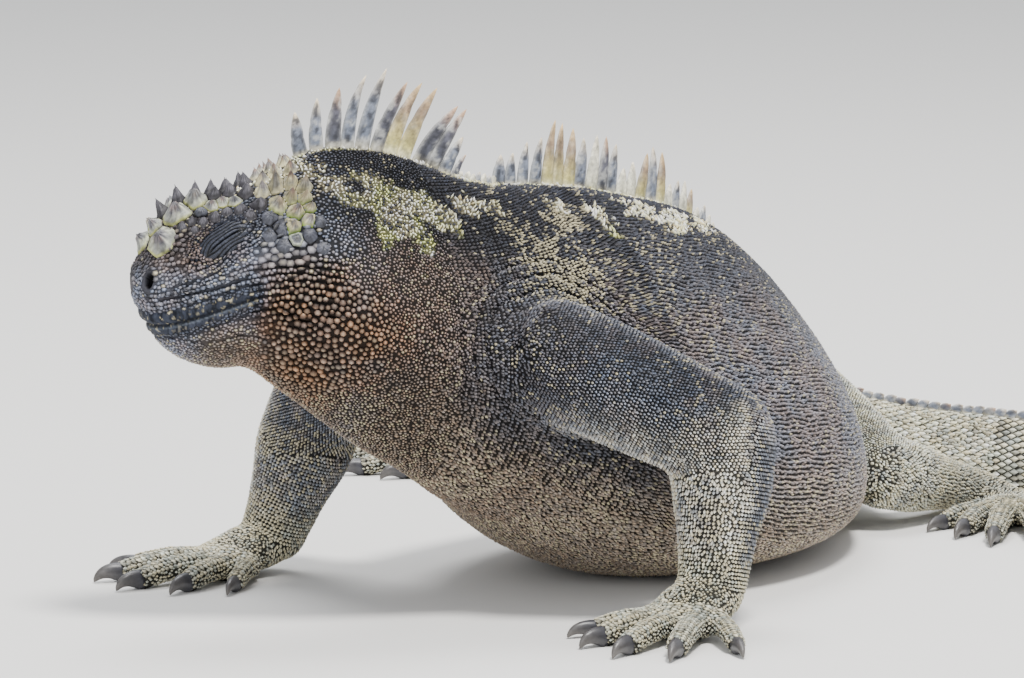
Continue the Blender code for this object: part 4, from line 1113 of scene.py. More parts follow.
def put_unwrap(mesh, points, s, turn, masks, along):
    """The skin's unwrap: the trunk and each limb rolled out, each paw from above and below."""
    count = len(mesh.polygons)
    loops = np.empty(len(mesh.loops), np.int32)
    mesh.loops.foreach_get("vertex_index", loops)
    starts = np.empty(count, np.int32)
    mesh.polygons.foreach_get("loop_start", starts)
    totals = np.diff(np.append(starts, len(loops)))
    owner = np.repeat(np.arange(count), totals)
    _, way = on_backbone(s)
    vertex_uv = {"trunk": np.column_stack([s / TAIL_END, turn])}
    label = np.zeros(len(points), int)
    names = ["trunk"]
    for name, (joints, upper, lower) in LIMBS.items():
        names.append(name)
        best, around = np.full(len(points), 1e9), np.zeros(len(points))
        reach = np.zeros(len(points))
        for part in (0, 1):
            distance, share, nearest = along_segment(points, joints[part], joints[part + 1])
            way3 = unit(np.subtract(joints[part + 1], joints[part]).astype(float))
            _, side, top = frame_along(way3, np.array([1.0, 0, 0.2]))
            away = points - nearest
            angle = np.arctan2(away @ side, away @ top) / (2 * math.pi) + 0.5
            near = distance < best
            best = np.where(near, distance, best)
            around = np.where(near, angle, around)
            reach = np.where(near, (share + part) / 2, reach)
        vertex_uv[name] = np.column_stack([reach, around])
        kind = name.split("_")[0]
        mine = (masks[kind] > 0.5) & (best < 30)
        label[mine] = len(names) - 1
    for name, (palm, digits) in PAWS.items():
        names.append(name)
        centre = palm[-2].mean(axis=0)
        away = points - centre
        distance = np.linalg.norm(away, axis=1)
        span = 150.0
        half = np.where(normals_of(mesh)[:, 2] > -0.2, 0.0, 0.5)
        vertex_uv[name] = np.column_stack([
            np.clip(0.25 + away[:, 0] / span * 0.5, 0.01, 0.49) + half,
            np.clip(0.5 + away[:, 1] / span, 0.01, 0.99),
        ])
        label[(masks["paw"] > 0.5) & (distance < 75)] = len(names) - 1
    face_label = np.zeros(count, int)
    np.maximum.at(face_label, owner, label[loops])
    uv = np.zeros((len(loops), 2))
    for k, name in enumerate(names):
        mine = face_label[owner] == k
        own = vertex_uv[name][loops[mine]].copy()
        if not name.startswith(("hand", "foot")):
            first = np.full(count, 2.0)
            np.minimum.at(first, owner[mine], own[:, 1])
            last = np.full(count, -1.0)
            np.maximum.at(last, owner[mine], own[:, 1])
            torn = (last - first)[owner[mine]] > 0.5
            own[:, 1] += np.where(torn & (own[:, 1] < 0.5), 1.0, 0.0)
            own[:, 1] = own[:, 1] / 1.03
        x, y, wide, high = ATLAS[name]
        uv[mine] = np.array([x, y]) + np.clip(own, 0, 1) * np.array([wide, high])
    layer = mesh.uv_layers.new(name="OFBake")
    layer.data.foreach_set("uv", uv.astype(np.float32).ravel())


# The scales: templates of corner points along the lie, sideways and outward, triangles, and each corner's shade,
# which is painted light: painted shade at the foot, in the gaps between scales, and a painted highlight at the top.

KEELED = (
    np.array([(-0.55, 0, -0.14), (0, 0.5, -0.14), (0, -0.5, -0.14), (0.5, 0, -0.14), (-0.15, 0, 0.75),
              (0.42, 0, 1.0)]),
    np.array([(0, 4, 1), (0, 2, 4), (4, 5, 1), (4, 2, 5), (1, 5, 3), (2, 3, 5), (0, 1, 3), (0, 3, 2)]),
    # painted shade at the four foot corners, painted highlight on the two keel corners
    np.array([0.16, 0.13, 0.13, 0.22, 1.6, 2.2]),
)


def bead(layers):
    """A rounded granule of six sides; layers has (radius, height, shade) from the foot up, where the shade is
    painted light: painted shade at the foot, painted highlight at the top.
    """
    points, shade = [], []
    angle = np.arange(6) / 6 * 2 * math.pi
    for radius, height, tone in layers[:-1]:
        points += [(math.cos(a) * radius, math.sin(a) * radius, height) for a in angle]
        shade += [tone] * 6
    points.append((0.0, 0.0, layers[-1][1]))
    shade.append(layers[-1][2])
    faces = []
    rows = len(layers) - 1
    for row in range(rows - 1):
        for k in range(6):
            a, b = row * 6 + k, row * 6 + (k + 1) % 6
            faces += [(a, b, b + 6), (a, b + 6, a + 6)]
    top = (rows - 1) * 6
    faces += [(top + k, top + (k + 1) % 6, rows * 6) for k in range(6)]
    faces += [(0, k + 1, k) for k in range(1, 5)]
    return np.array(points), np.array(faces), np.array(shade)


# Each granule's shade runs from painted shade at its foot, in the gaps between granules, to a painted highlight at
# its top; the snout's pebbles have the lightest feet.
GRAIN = bead(((0.5, -0.15, 0.12), (0.0, 1.0, 2.2)))
DOME = bead(((0.5, -0.15, 0.06), (0.36, 0.55, 0.66), (0.0, 1.0, 1.75)))
PEBBLE = bead(((0.5, -0.15, 0.42), (0.0, 1.0, 1.75)))
KINDS = (KEELED, GRAIN, DOME, PEBBLE)
KEEL, GRANULE, ROUND, FINE = 0, 1, 2, 3


class Coat:
    """The roots of all scales, gathered region by region."""

    def __init__(self, tree):
        self.tree = tree
        self.regions = {}
        self.taken = None
        self.spots = []

    def add(self, region, points, ways, sizes, kinds, uv, reach=2.4, apart=0.72):
        """Set roots on the skin, leave out the hidden and the crowded ones, and keep the rest."""
        if not len(points):
            return
        found_point = np.zeros((len(points), 3))
        found_normal = np.zeros((len(points), 3))
        keep = np.zeros(len(points), bool)
        for k, spot in enumerate((points * MM).tolist()):
            place, normal, _, distance = self.tree.find_nearest(spot, reach * MM)
            if place is None:
                continue
            found_point[k], found_normal[k] = place, normal
            keep[k] = True
        found_point /= MM
        keep &= (found_point[:, 2] > 0.9) | (found_normal[:, 2] > -0.3)
        if self.taken is not None and apart:
            for k in np.nonzero(keep)[0]:
                _, _, distance = self.taken.find(found_point[k])
                if distance < sizes[k, 1] * apart:
                    keep[k] = False
        made = {
            "points": found_point[keep], "normals": unit(found_normal[keep]), "ways": ways[keep],
            "sizes": sizes[keep], "kinds": kinds[keep], "uv": uv[keep],
        }
        for part, value in made.items():
            self.regions.setdefault(region, {}).setdefault(part, []).append(value)
        self.spots.append(made["points"])
        everything = np.concatenate(self.spots)
        self.taken = KDTree(len(everything))
        for k, spot in enumerate(everything.tolist()):
            self.taken.insert(spot, k)
        self.taken.balance()


def even_turns(s, count, shift):
    """Turns that divide the trunk's outline at s in equal lengths."""
    turns = np.linspace(0, 1, 193)
    points = trunk_points(np.full(193, s), turns)
    length = np.concatenate([[0], np.cumsum(np.linalg.norm(np.diff(points, axis=0), axis=1))])
    wanted = (np.arange(count) + shift) / count * length[-1]
    return np.interp(wanted, length, turns), length[-1]


def body_rows(coat, draw):
    """Scales in upright rows on the neck and in level, wavy rows on the flank."""
    rows = []
    s = 97.0
    while s < 432:
        step = np.interp(s, (97, 120, 145, 158, 176, 300, 430), (1.45, 1.6, 1.7, 1.4, 1.22, 1.3, 1.7))
        pitch = np.interp(s, (97, 120, 145, 158, 176, 300, 430), (1.3, 1.15, 1.15, 1.4, 1.8, 1.85, 2.1))
        _, around = even_turns(s, 8, 0)
        count = int(round(around / pitch))
        until = s + 26
        k = 0
        while s < until and s < 432:
            turns, _ = even_turns(s, count, 0.5 * (k % 2) if s < 172 else 0.1 * (k % 2))
            rows.append((np.full(count, s), turns, np.full(count, step), np.full(count, pitch),
                         np.arange(count) + k))
            s += step
            k += 1
    s, turn, step, pitch, order = (np.concatenate([r[j] for r in rows]) for j in range(5))
    under = (turn > 0.37) & (turn < 0.63)
    keep = ~under | (order % 2 == 0)
    s, turn, step, pitch, under = (v[keep] for v in (s, turn, step, pitch, under))
    loose = 0.07 + 0.2 * bump(s - 155, 10)
    around = 330.0
    plain = trunk_points(s, turn)
    wave = (layered_noise(plain * [1, 1, 0.4], 9.0, 71, 2) - 0.5) * 2.6 * eased(s, 150, 180)
    s_now = s + draw.uniform(-1, 1, len(s)) * loose * step
    turn_now = turn + (draw.uniform(-1, 1, len(s)) * loose * pitch + wave) / around
    points = trunk_points(s_now, turn_now % 1.0)
    ways = unit(trunk_points(s + 1.0, turn) - trunk_points(s - 1.0, turn))
    upright = eased(s, 168, 148)
    length = step * (1.5 - 0.62 * upright) * draw.uniform(0.9, 1.1, len(s))
    width = pitch * (0.84 + 0.34 * upright) * draw.uniform(0.92, 1.08, len(s))
    height = 0.66 * draw.uniform(0.75, 1.25, len(s)) * np.where(under, 0.4, 1)
    length = np.where(under, step * 2.0, length)
    width = np.where(under, pitch * 1.5, width)
    kinds = np.where(under, GRANULE, KEEL)
    first = s < 158
    for name, mine in (("neck", first), ("flank", ~first & (s < 222)), ("rump", s >= 222)):
        for half, own in (("l", turn < 0.5), ("r", turn >= 0.5)):
            pick = mine & own
            low, high = {"neck": (76, 160), "flank": (156, 224), "rump": (220, 434)}[name]
            part_uv = np.column_stack([(s - low) / (high - low), (turn * 2) % 1.0])
            coat.add(f"{name}_{half}", points[pick], ways[pick],
                     np.column_stack([length, width, height])[pick], kinds[pick], part_uv[pick])


def tail_rows(coat, draw):
    """Rings of stronger keeled scales round the tail."""
    s = 428.0
    rows = []
    k = 0
    while s < TAIL_TIP - 3:
        pitch = np.interp(s, (428, 600, 940), (2.6, 2.9, 1.9))
        _, around = even_turns(s, 8, 0)
        count = max(5, int(round(around / pitch)))
        turns, _ = even_turns(s, count, 0.5 * (k % 2))
        rows.append((np.full(count, s), turns, np.full(count, pitch)))
        s += pitch * 0.9
        k += 1
    s, turn, size = (np.concatenate([r[j] for r in rows]) for j in range(3))
    points = trunk_points(s, turn)
    ways = unit(trunk_points(s + 1.0, turn) - trunk_points(s - 1.0, turn))
    sizes = np.column_stack([
        size * 1.5 * draw.uniform(0.9, 1.1, len(s)), size * 0.96 * draw.uniform(0.9, 1.1, len(s)),
        0.62 * draw.uniform(0.8, 1.2, len(s)) * np.interp(s, (430, 940), (1, 0.5)),
    ])
    uv = np.column_stack([(s - 424) / 528, turn])
    coat.add("tail", points, ways, sizes, np.full(len(s), KEEL), uv)


def limb_rows(coat, draw):
    """Rings of scales across each limb, in rows that overlap towards the paw."""
    for name, (joints, upper, lower) in LIMBS.items():
        for part, profile in enumerate((upper, lower)):
            pitch = (1.3, 1.45)[part]
            start, end = (np.asarray(joints[part + j], float) for j in (0, 1))
            way = unit(end - start)
            length = np.linalg.norm(end - start)
            up = (1, 0, 0) if part and name.startswith("arm") else (0, 0, 1)
            count = int((length + 18) / (pitch * 0.95))
            share = (np.arange(count) * pitch * 0.95 - 6) / length
            share = share[share < 1.02 if part else share < 1.3]
            points, ways, at, around, rear = [], [], [], [], []
            for row, here in enumerate(share):
                a, b = curve_through(profile, np.clip(here, 0, 1))[0]
                number = int(round(math.pi * (a + b) / (pitch * 0.98)))
                angle = (np.arange(number) + 0.5 * (row % 2)) / number * 2 * math.pi
                _, side, top = frame_along(way, np.asarray(up, float))
                centre = start + way * length * here
                offset = np.outer(np.cos(angle) * a, side) + np.outer(np.sin(angle) * b, top)
                points.append(centre + offset)
                rear.append(unit(offset) @ backward(name.split("_")[1]))
                ways.append(np.tile(way, (number, 1)))
                at.append(np.full(number, here))
                around.append(angle / (2 * math.pi))
            points, ways = np.concatenate(points), np.concatenate(ways)
            at, around = np.concatenate(at), np.concatenate(around)
            n = len(points)
            rowed = -1.2 if name == "arm_right" else 0.35
            banded = eased(np.concatenate(rear), rowed, rowed + 0.25) * part * name.startswith("arm")
            loose = 0.12 + 0.13 * part - 0.18 * banded
            points = points + draw.uniform(-1, 1, (n, 3)) * pitch * loose[:, None]
            broad = 1.0 + 0.08 * part + 0.3 * banded
            sizes = np.column_stack([
                pitch * (0.98 - 0.12 * banded) * draw.uniform(0.9, 1.1, n),
                pitch * broad * draw.uniform(0.92, 1.1, n), 0.66 * draw.uniform(0.8, 1.2, n),
            ])
            uv = np.column_stack([(np.clip(at, 0, 1) + part) / 2, around])
            coat.add(name, points, ways, sizes, np.full(n, KEEL), uv, 3.0)


def paw_rows(coat, draw):
    """Cross rows of wider scales over each digit."""
    pitch = 1.75
    for name, (palm, digits) in PAWS.items():
        centre = palm[-2].mean(axis=0)
        for rings, path, way, thick in digits:
            length = np.linalg.norm(path[-1] - path[0])
            count = int(length / (pitch * 1.05))
            points, ways, sizes, kinds = [], [], [], []
            for row in range(count):
                share = (row + 0.5) / count
                centre_row = share * (len(rings) - 1)
                low = int(centre_row)
                ring = rings[low] + (rings[min(low + 1, len(rings) - 1)] - rings[low]) * (centre_row - low)
                middle = ring.mean(axis=0)
                radius = np.linalg.norm(ring - middle, axis=1).mean()
                around = np.array([-1.0, -0.5, 0.0, 0.5, 1.0]) * 1.15 + math.pi / 2
                side = np.array([-way[1], way[0], 0.0])
                for angle, wide in zip(around, (0.8, 1.15, 1.5, 1.15, 0.8)):
                    out = side * math.cos(angle) + np.array([0, 0, 1.0]) * math.sin(angle)
                    points.append(middle + out * radius)
                    ways.append(way)
                    sizes.append((pitch * 1.35, wide * radius * 0.62, 0.62 * draw.uniform(0.8, 1.2)))
                    kinds.append(KEEL)
            points = np.array(points)
            uv = 0.5 + (points[:, :2] - centre[:2]) / 150.0
            coat.add(name, points, np.array(ways), np.array(sizes), np.array(kinds), uv, 2.4, 0.4)


def head_pitch(s, height, above):
    """Spacing, relief and kind of the granules at places on the head's side."""
    pitch = 1.3 - 0.24 * eased(s, 64, 84)
    relief = np.full(len(s), 0.5)
    kinds = np.full(len(s), GRANULE)
    bead_size = eased(jowl_reach(s, height), 0.0, 1.05)
    pitch += 1.0 * bead_size
    relief += 0.75 * bead_size
    kinds = np.where(bead_size > 0.25, ROUND, kinds)
    temple = (s > 42) & (s < 62) & (height > 129) & (height < 146)
    pitch = np.where(temple, 2.6, pitch)
    relief = np.where(temple, 0.5, relief)
    kinds = np.where(temple, ROUND, kinds)
    snout = (s < 46) & (above > 3)
    kinds = np.where(snout, FINE, kinds)
    relief = np.where(snout, 0.42, relief)
    before = (s > 12) & (s < 27) & (height > 127.5) & (height < 142)
    pitch = np.where(before, 1.9, pitch)
    relief = np.where(before, 0.9, relief)
    kinds = np.where(before, ROUND, kinds)
    throat = (above < -8) & (bead_size < 0.25)
    pitch = np.where(throat, 1.15, pitch)
    lips = (np.abs(above) < 5.4) & (s < MOUTH_CORNER + 2)
    pitch = np.where(lips, 1.1, pitch)
    relief = np.where(lips, 0.22, relief)
    return pitch, relief, kinds


def spread_out(points, normals, pitch, rounds):
    """Push granules apart until they lie evenly; also the mean gap to the nearest ones."""
    near = 7
    gap = pitch
    for turn in range(rounds + 1):
        tree = KDTree(len(points))
        for k, spot in enumerate(points.tolist()):
            tree.insert(spot, k)
        tree.balance()
        found = [tree.find_n(spot, near) for spot in points.tolist()]
        others = np.array([[other[1] for other in row] for row in found])[:, 1:]
        away = points[:, None] - points[others]
        distance = np.linalg.norm(away, axis=2)
        gap = distance[:, :4].mean(axis=1)
        if turn == rounds:
            break
        wanted = (pitch[:, None] + pitch[others]) / 2
        push = np.clip(wanted - distance, 0, None) / np.maximum(distance, 0.05) * 0.3
        step = (away * push[..., None]).sum(axis=1)
        step -= normals * np.einsum("ij,ij->i", step, normals)[:, None]
        points = points + step
    return points, gap


def head_grains(coat, draw):
    """Granules strewn over the head as closely as their sizes let them."""
    tries = 150000
    s = draw.uniform(0.5, 102, tries)
    turn = draw.uniform(0, 1, tries)
    around = np.interp(s, (0, 10, 40, 88, 102), (0.25, 0.42, 0.62, 0.9, 1.0))
    pick = draw.uniform(0, 1, tries) < around
    s, turn = s[pick], turn[pick]
    points = trunk_points(s, turn)
    height = points[:, 2]
    above = height - mouth_height(s)
    pitch, relief, kinds = head_pitch(s, height, above)
    fold = np.minimum(turn, 1 - turn)
    skip = (np.abs(above) < 0.9) & (s < MOUTH_CORNER + 1)
    skip |= (above < lip_height(s)) & (above > -0.75 * lip_height(s)) & (s < MOUTH_CORNER - 1)
    skip |= (fold < 0.05) & (s > 5) & (s < 36)
    groove = np.maximum(cheek_folds(s, height), snout_rows(s, above))
    for name, side in SIDES.items():
        own = (turn < 0.5) if side < 0 else (turn >= 0.5)
        for key, sizes, edge in (("eye", EYE_SIZE, 0.98), ("nostril", NOSTRIL_SIZE, 1.5)):
            spot, long, short, normal = FEATURES[name][key]
            x, y, rho = lens_place(points, spot, long, short, sizes)
            skip |= own & (rho < edge) & (np.abs((points - spot) @ normal) < 8)
            if key == "eye":
                near = own & (rho < 1.75)
                pitch = np.where(near, 0.95, pitch)
                relief = np.where(near, 0.3, relief)
                kinds = np.where(near, FINE, kinds)
                groove = np.where(near, np.maximum(groove, lid_folds(x, y)), groove)
    keep = ~skip & (groove < 0.32)
    s, turn, points, pitch, relief, kinds = (v[keep] for v in (s, turn, points, pitch, relief, kinds))
    cell = 3.0
    grid, chosen = {}, []
    places = np.floor(points / cell).astype(int).tolist()
    spots = points.tolist()
    reach = (pitch * 0.80).tolist()
    around = [(a, b, c) for a in (-1, 0, 1) for b in (-1, 0, 1) for c in (-1, 0, 1)]
    for k, (i, j, l) in enumerate(places):
        x, y, z = spots[k]
        free = True
        for a, b, c in around:
            for other in grid.get((i + a, j + b, l + c), ()):
                ox, oy, oz = spots[other]
                least = (reach[k] + reach[other]) / 2
                if (x - ox) ** 2 + (y - oy) ** 2 + (z - oz) ** 2 < least * least:
                    free = False
                    break
            if not free:
                break
        if free:
            grid.setdefault((i, j, l), []).append(k)
            chosen.append(k)
    chosen = np.array(chosen)
    s, turn, points, pitch, relief, kinds = (v[chosen] for v in (s, turn, points, pitch, relief, kinds))
    ways = unit(trunk_points(s + 1.0, turn) - trunk_points(np.maximum(s - 1.0, 0.1), turn))
    n = len(s)
    fixed = (cheek_folds(s, points[:, 2]) > 0) | (np.abs(points[:, 2] - mouth_height(s)) < 14)
    spaced, gap = spread_out(points, trunk_normal(s, turn), pitch, 3)
    points = np.where((fixed & (s < 46))[:, None], points, spaced)
    size = np.clip(gap, pitch * 0.85, pitch * 1.35) * draw.uniform(0.78, 1.14, n)
    stretch = 1.12 + draw.uniform(-0.08, 0.25, n) + 0.3 * eased(s, 74, 60) * eased(jowl_reach(s, points[:, 2]), 0.5, 0.0)
    size = size * np.where(kinds == FINE, 1.12, 1.0)
    sizes = np.column_stack([size * stretch, size * 1.1, relief * draw.uniform(0.75, 1.25, n)])
    uv = np.column_stack([s / 104, turn])
    coat.add("head", points, ways, sizes, kinds, uv, 4.5, 0)


def filling(coat, points, normals, draw):
    """Scales where the rows leave the skin bare, as at the roots of the limbs."""
    order = draw.permutation(len(points))
    tree = coat.taken
    places, ways, uvs = [], [], []
    everything = {key: np.concatenate([np.concatenate(r[key]) for r in coat.regions.values()])
                  for key in ("points", "ways")}
    apart = 1.15
    own = {}
    for k in order:
        x, y, z = points[k]
        if z < 1.2:
            continue
        spot, number, distance = tree.find((x, y, z))
        if distance < apart:
            continue
        i, j, l = int(x // apart), int(y // apart), int(z // apart)
        free = True
        for a in (-1, 0, 1):
            for b in (-1, 0, 1):
                for c in (-1, 0, 1):
                    for other in own.get((i + a, j + b, l + c), ()):
                        if sum((p - q) ** 2 for p, q in zip(other, (x, y, z))) < apart * apart:
                            free = False
        if not free:
            continue
        own.setdefault((i, j, l), []).append((x, y, z))
        places.append((x, y, z))
        ways.append(everything["ways"][number])
    if not places:
        return
    places = np.array(places)
    n = len(places)
    size = apart * draw.uniform(1.05, 1.3, n)
    sizes = np.column_stack([size * 1.15, size, 0.55 * draw.uniform(0.8, 1.2, n)])
    uv = np.column_stack([(places[:, 0] + 260) / 520, (places[:, 1] + 140) / 330]).clip(0, 1)
    coat.add("joins", places, np.array(ways), sizes, np.full(n, KEEL), uv, 1.0, 0)


def face_middles(mesh):
    flat = np.empty(len(mesh.polygons) * 3, np.float32)
    mesh.polygons.foreach_get("center", flat)
    return flat.reshape(-1, 3).astype(float) / MM


def build_coat(skin):
    """Every scale of the hide, in pieces by region."""
    draw = np.random.default_rng(SEED)
    tree = BVHTree.FromObject(skin, bpy.context.evaluated_depsgraph_get())
    coat = Coat(tree)
    head_grains(coat, draw)
    body_rows(coat, draw)
    tail_rows(coat, draw)
    paw_rows(coat, draw)
    limb_rows(coat, draw)
    middles = face_middles(skin.data)
    s, _, _ = backbone_place(middles)
    masks, _ = limb_masks(middles)
    limb = np.maximum(np.maximum(masks["arm"], masks["leg"]), masks["paw"])
    spots = middles[(s > 92) & (s < 500) | (limb > 0.05)]
    spots = np.concatenate([spots] + [spots + draw.normal(0, 0.7, spots.shape) for _ in range(3)])
    filling(coat, spots, None, draw)
    made = []
    for region, parts in coat.regions.items():
        parts = {key: np.concatenate(value) for key, value in parts.items()}
        if len(parts["points"]):
            made += scale_pieces(region, parts, draw)
    return made


def scale_pieces(region, parts, draw):
    """One region's scales as joined meshes, each under the limit for a coat piece."""
    points = parts["points"]
    s, sideways, share = backbone_place(points)
    masks, along = limb_masks(points)
    turn = turns_of(points)
    colour, crust = markings(points, s, share, turn, masks, along)
    n = len(points)
    limb = np.maximum(np.maximum(masks["arm"], masks["leg"]), masks["paw"])
    head = eased(s, 84, 66) * (1 - limb)
    chance = 0.10 + 0.12 * eased(share, 0.35, 0.05) + 0.22 * masks["arm"] * eased(along, 0.9, 1.2)
    chance = chance + 0.22 * eased(s, 350, 450) + 0.16 * masks["paw"] + 0.04 * head
    fold = np.minimum(turn, 1 - turn)
    worn = np.exp(-((s - 153) / 20) ** 2 - ((fold - 0.13) / 0.05) ** 2) * (1 - limb)
    chance = chance + 1.3 * worn
    patches = eased(layered_noise(points, 13.0, 17, 3), 0.35, 0.7)
    flecked = draw.uniform(0, 1, n) < chance * (0.25 + 1.6 * patches)
    fleck_and_highlight = flecked * draw.uniform(0.25, 0.8, n) * (1 - 0.6 * (parts["kinds"] == ROUND)) * (1 + 0.5 * worn)
    colour = colour * draw.uniform(0.6, 1.6, n)[:, None]
    # The jowl's round beads all get some cream at their tops: a painted highlight; on the other scales the cream
    # tops are real pale flecks.
    beaded = (parts["kinds"] == ROUND) & (s > 46)
    fleck_and_highlight = np.where(beaded, np.maximum(fleck_and_highlight, draw.uniform(0.02, 0.22, n)), fleck_and_highlight)
    colour = np.where((beaded & (draw.uniform(0, 1, n) < 0.3))[:, None], colour * 0.6, colour)
    warm = draw.uniform(-1, 1, n)[:, None] * np.array([0.08, 0.0, -0.10])
    colour = colour * (1 + warm)
    sizes = parts["sizes"].copy()
    kinds = parts["kinds"].copy()
    bare = draw.uniform(0, 1, n) < 0.26
    raised = (crust > 0.45) & ~bare
    colour = np.where((bare & (crust > 0.45))[:, None], CHARCOAL * 1.1, colour)
    sizes[:, 2] = np.where(raised, sizes[:, 2] * draw.uniform(1.0, 2.2, n), sizes[:, 2])
    colour = np.where(raised[:, None], colour * draw.uniform(0.65, 1.4, n)[:, None], colour)
    flake = np.column_stack([draw.uniform(0.8, 1.7, n), draw.uniform(0.45, 0.9, n)])
    sizes[:, :2] = np.where(raised[:, None], sizes[:, :2].mean(axis=1)[:, None] * flake, sizes[:, :2])
    strewn = unit(draw.normal(0, 1, (n, 3)) + [0, 0, 1.2])
    parts["ways"] = np.where(raised[:, None], strewn, parts["ways"])
    normal = parts["normals"]
    way = unit(parts["ways"] - normal * np.einsum("ij,ij->i", parts["ways"], normal)[:, None])
    side = np.cross(normal, way)
    made = []
    limit = 190000
    chunks = {KEEL: 8, GRANULE: 10, ROUND: 22, FINE: 10}
    cost = np.array([chunks[int(k)] for k in kinds])
    number = (np.cumsum(cost) // limit).astype(int)
    for piece in range(number.max() + 1):
        verts, faces, tints, uvs, rounded, first = [], [], [], [], [], 0
        for kind, (shape, triangles, shade) in enumerate(KINDS):
            mine = np.nonzero((number == piece) & (kinds == kind))[0]
            if not len(mine):
                continue
            size = sizes[mine]
            local = shape[None, :, :] * size[:, None, :]
            spots = (points[mine][:, None] + local[..., :1] * way[mine][:, None]
                     + local[..., 1:2] * side[mine][:, None] + local[..., 2:] * normal[mine][:, None])
            verts.append(spots.reshape(-1, 3))
            rounded.append(np.full(len(mine) * len(triangles), kind != KEEL))
            starts = first + np.arange(len(mine)) * len(shape)
            faces.append((triangles[None] + starts[:, None, None]).reshape(-1, 3))
            # Each corner's colour is the scale's colour times the template's shade: painted shade at the foot and a
            # painted highlight on the keel or top.
            own = colour[mine][:, None] * shade[None, :, None]
            # Cream at the tops: real pale flecks, and on the jowl's beads a painted highlight.
            peak = np.clip((shade - 0.7) * 2, 0, 1)[None, :] * fleck_and_highlight[mine][:, None]
            own = own + (CREAM - own) * peak[..., None]
            tints.append(own.reshape(-1, 3))
            spread = shape[:, :2] / np.abs(shape[:, :2]).max() * 0.0015
            own = np.clip(parts["uv"][mine], 0.002, 0.998)
            uvs.append((own[:, None] + spread[None]).reshape(-1, 2))
            first += len(mine) * len(shape)
        verts, faces = np.concatenate(verts), np.concatenate(faces)
        verts[:, 2] = np.maximum(verts[:, 2], 0.02)
        tints, uvs = np.concatenate(tints), np.concatenate(uvs)
        name = f"scales_{region}" if number.max() == 0 else f"scales_{region}_{piece + 1}"
        scales = mesh_object(name, verts, faces, False)
        scales.data.polygons.foreach_set("use_smooth", np.concatenate(rounded))
        put_tint(scales.data, tints)
        layer = scales.data.uv_layers.new(name="OFBake")
        layer.data.foreach_set("uv", uvs[faces.ravel()].astype(np.float32).ravel())
        made.append(scales)
    return made


# The casque, crest, lids and claws.

def polygon_reach(place, others, angle, most):
    """Radius of a plate's outline at each angle, halfway to its neighbours and at most `most`."""
    reach = np.full(len(angle), most)
    for other, share in others:
        away = other - place
        distance = np.linalg.norm(away)
        if distance < 1e-6 or distance > 22:
            continue
        toward = np.cos(angle) * away[0] / distance + np.sin(angle) * away[1] / distance
        limit = np.where(toward > 0.12, distance * share / np.maximum(toward, 0.12), 1e9)
        reach = np.minimum(reach, limit)
    return reach


PLATE_ROWS = {  # radius share, height share, then the colour's row: 0 foot, 1 rim, 2 face, 3 peak
    "w": ((1.0, -0.3, 0), (0.985, 0.16, 1), (0.93, 0.27, 1), (0.84, 0.30, 2), (0.66, 0.38, 2),
          (0.46, 0.55, 2), (0.27, 0.80, 3), (0.11, 0.97, 3)),
    "d": ((1.0, -0.3, 0), (0.97, 0.06, 1), (0.84, 0.16, 2), (0.66, 0.30, 2), (0.48, 0.50, 3),
          (0.3, 0.74, 3), (0.17, 0.90, 3), (0.08, 0.98, 3)),
    "t": ((1.0, -0.25, 0), (0.98, 0.05, 1), (0.9, 0.10, 1), (0.74, 0.18, 2), (0.55, 0.34, 2),
          (0.37, 0.58, 3), (0.21, 0.82, 3), (0.09, 0.97, 3)),
    "f": ((1.0, -0.5, 0), (0.96, 0.3, 1), (0.84, 0.65, 2), (0.66, 0.85, 2), (0.45, 0.95, 2),
          (0.25, 0.99, 3), (0.16, 1.0, 3), (0.1, 1.0, 3)),
    "r": ((1.0, -0.5, 0), (0.97, 0.6, 1), (0.86, 1.0, 1), (0.74, 0.9, 1), (0.60, 0.5, 2),
          (0.40, 0.5, 2), (0.25, 0.7, 3), (0.1, 0.8, 3)),
}
PLATE_COLOURS = {
    "w": (srgb(44, 46, 38), srgb(162, 164, 92), srgb(168, 169, 152), srgb(88, 86, 94)),
    "d": (srgb(18, 18, 20), srgb(32, 30, 34), srgb(52, 50, 55), srgb(90, 88, 95)),
    "t": (srgb(48, 62, 30), srgb(128, 154, 58), srgb(186, 178, 142), srgb(128, 106, 94)),
    "f": (srgb(14, 14, 17), srgb(34, 34, 40), srgb(64, 66, 76), srgb(84, 86, 96)),
    "r": (srgb(30, 30, 30), srgb(150, 156, 140), srgb(84, 86, 92), srgb(104, 104, 104)),
}


def turn_share(turn):
    """How mossy a temple cone is: none near the head's top, all of it low on the side."""
    return float(eased(np.array([abs(turn)]), 0.085, 0.125)[0])


